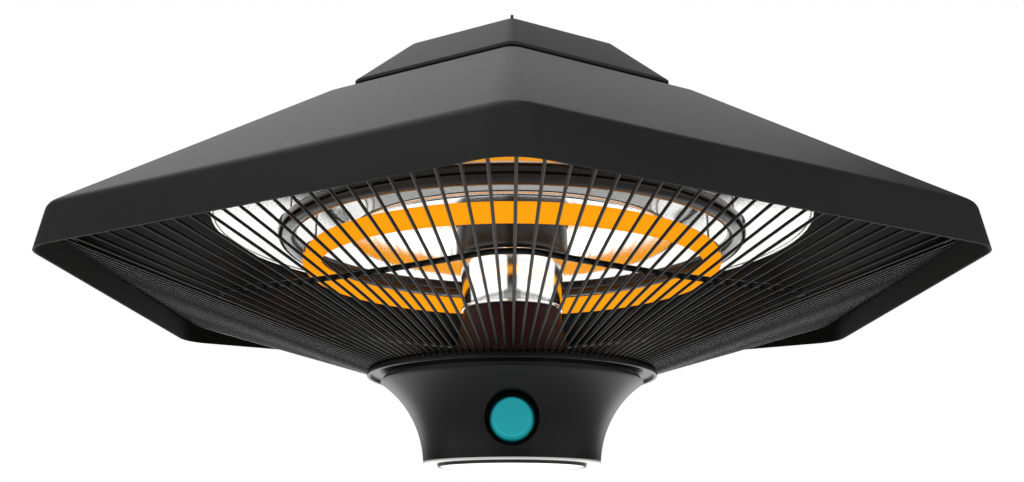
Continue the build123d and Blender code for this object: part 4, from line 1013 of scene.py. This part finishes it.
# The first wire stands a share of a step beside the front corner.
guard = {"wireCount": 138, "firstShare": 0.15, "wireRadius": 0.8, "rimCorner": 264.8, "rimRounding": 24.2,
         "rimHeight": 10.1, "hubRadius": 83.2, "hubHeight": -42.35, "ringCorner": 178.98,
         "ringRounding": 25.0, "ringRadius": 1.5, "ringLift": 2.42, "bandRadius": 81.5, "bandWidth": 4.0,
         "bandThick": 2.0, "bandEdge": 0.4, "bandHeight": -42.4}
guardValues = inMetres(guard, ("rimHeight", "hubHeight", "bandHeight"), ("wireCount", "firstShare"))
guardValues["wireCount"] = guard["wireCount"]
guardValues["wireStep"] = 2 * pi / guard["wireCount"]
guardValues["firstTurn"] = -pi / 2 + guard["firstShare"] * guardValues["wireStep"]
growPiece("wire_guard_welded", makeGuardTree(), guardValues, enamelWire, "wire_guard")
print("guard grown")


# The rim rod that lies on the wires' outer ends.
def makeRimTree():
    tree, get = newTree("guard_rim_tree", ("corner", "rounding", "height", "rodRadius"))
    rounded = addSixSides(tree, get["corner"], get["rounding"], get["height"])
    return endTree(tree, addRod(tree, rounded, get["rodRadius"], corners=16), get["finish"])


rimRod = {"corner": guard["rimCorner"], "rounding": guard["rimRounding"], "height": 12.95, "rodRadius": 2.0}
growPiece("guard_rim_rod", makeRimTree(), inMetres(rimRod, ("height",)), enamelRod, "guard_rim")
print("guard rim grown")

# From here on sizes are in metres. The floor lies far below, because the heater hangs from a ceiling.
stage = {"floorDrop": 2.2, "floorSize": 60.0}
half, low = stage["floorSize"] / 2, -stage["floorDrop"]
floorMesh = bpy.data.meshes.new("studio_floor")
floorMesh.from_pydata([(-half, -half, low), (half, -half, low), (half, half, low), (-half, half, low)], [],
                      [(0, 1, 2, 3)])
floor = addObject("studio_floor", floorMesh)
# painted board: pale, flat and even
floorFinish = makeFinish("studio_floor_painted_pale", {
    "colours": ("#EFEFED", "#EAEAE8"), "patchMm": 400.0, "grainMm": 5.0, "rough": (0.7, 0.85), "bump": 0.02})
floorMesh.materials.append(floorFinish)

# Large soft boxes round the heater, and two small cards close to its polished column.
heaterMiddle = (0.0, 0.0, -0.18)
sleeveMiddle = (0.0, 0.0, -0.162)
lights = {
    "above": {"at": (-0.9, 0.2, 1.9), "size": (1.8, 1.8), "watts": 9.0},
    "left": {"at": (-1.7, -1.15, -0.35), "size": (3.0, 1.5), "watts": 10.0},
    "right": {"at": (1.7, -1.15, -0.35), "size": (3.0, 1.5), "watts": 8.5},
    "roof": {"at": (-0.45, 2.3, 1.9), "size": (4.2, 2.0), "watts": 34.0},
    "front": {"at": (0.5, -2.1, 2.6), "size": (3.0, 2.0), "watts": 11.0},
    "behind": {"at": (0.0, 2.6, -0.72), "size": (4.4, 1.0), "watts": 15.0},
    "under": {"at": (0.0, 1.5, -1.22), "size": (3.6, 1.8), "watts": 20.0},
    "card_left": {"at": (-0.055, -0.043, -0.162), "size": (0.13, 0.038), "watts": 0.018,
                  "aim": sleeveMiddle},
    "card_right": {"at": (0.055, -0.043, -0.162), "size": (0.13, 0.038), "watts": 0.017,
                   "aim": sleeveMiddle},
}
for name, s in lights.items():
    lamp = bpy.data.lights.new("softbox_" + name, "AREA")
    lamp.shape = "RECTANGLE"
    lamp.size, lamp.size_y = s["size"]
    lamp.energy = s["watts"]
    box = addObject("softbox_" + name, lamp)
    box.location = s["at"]
    aim = Vector(s.get("aim", heaterMiddle)) - Vector(s["at"])
    box.rotation_euler = aim.to_track_quat("-Z", "Y").to_euler()
    box.visible_camera = False

# The room is white behind the heater, fills its shadows at half that, and is dim in what the metal mirrors.
room = {"fill": 0.5, "mirrored": 0.1}
world = bpy.data.worlds.new("studio")
bpy.context.scene.world = world
world.use_nodes = True
world.node_tree.nodes.clear()
path = addNode(world.node_tree, "ShaderNodeLightPath")
fill = addNode(world.node_tree, "ShaderNodeMapRange", {3: room["mirrored"], 4: room["fill"]},
               {0: path.outputs["Is Diffuse Ray"]})
level = addNode(world.node_tree, "ShaderNodeMath", {"operation": "MAXIMUM"},
                {0: path.outputs["Is Camera Ray"], 1: fill.outputs[0]})
sky = addNode(world.node_tree, "ShaderNodeBackground", {"Color": (1, 1, 1, 1)},
              {"Strength": level.outputs[0]})
addNode(world.node_tree, "ShaderNodeOutputWorld", None, {"Surface": sky.outputs[0]})
bpy.context.scene.view_settings.view_transform = "Standard"

# Where the photo was taken from, worked out from the skirt's corners. In millimetres, with near in metres.
view = {"back": 646.4, "low": -133.9, "tilt": 14.93, "lens": 38.39, "sensor": 36.0, "near": 0.01}
cameraData = bpy.data.cameras.new("photo_camera")
cameraData.lens = view["lens"]
cameraData.sensor_width = view["sensor"]
cameraData.clip_start = view["near"]
camera = addObject("photo_camera", cameraData)
camera.location = place(0, -view["back"], view["low"])
camera.rotation_euler = (radians(90.0 + view["tilt"]), 0, 0)
bpy.context.scene.camera = camera
print("stage, lights and camera set")

bpy.context.view_layer.update()
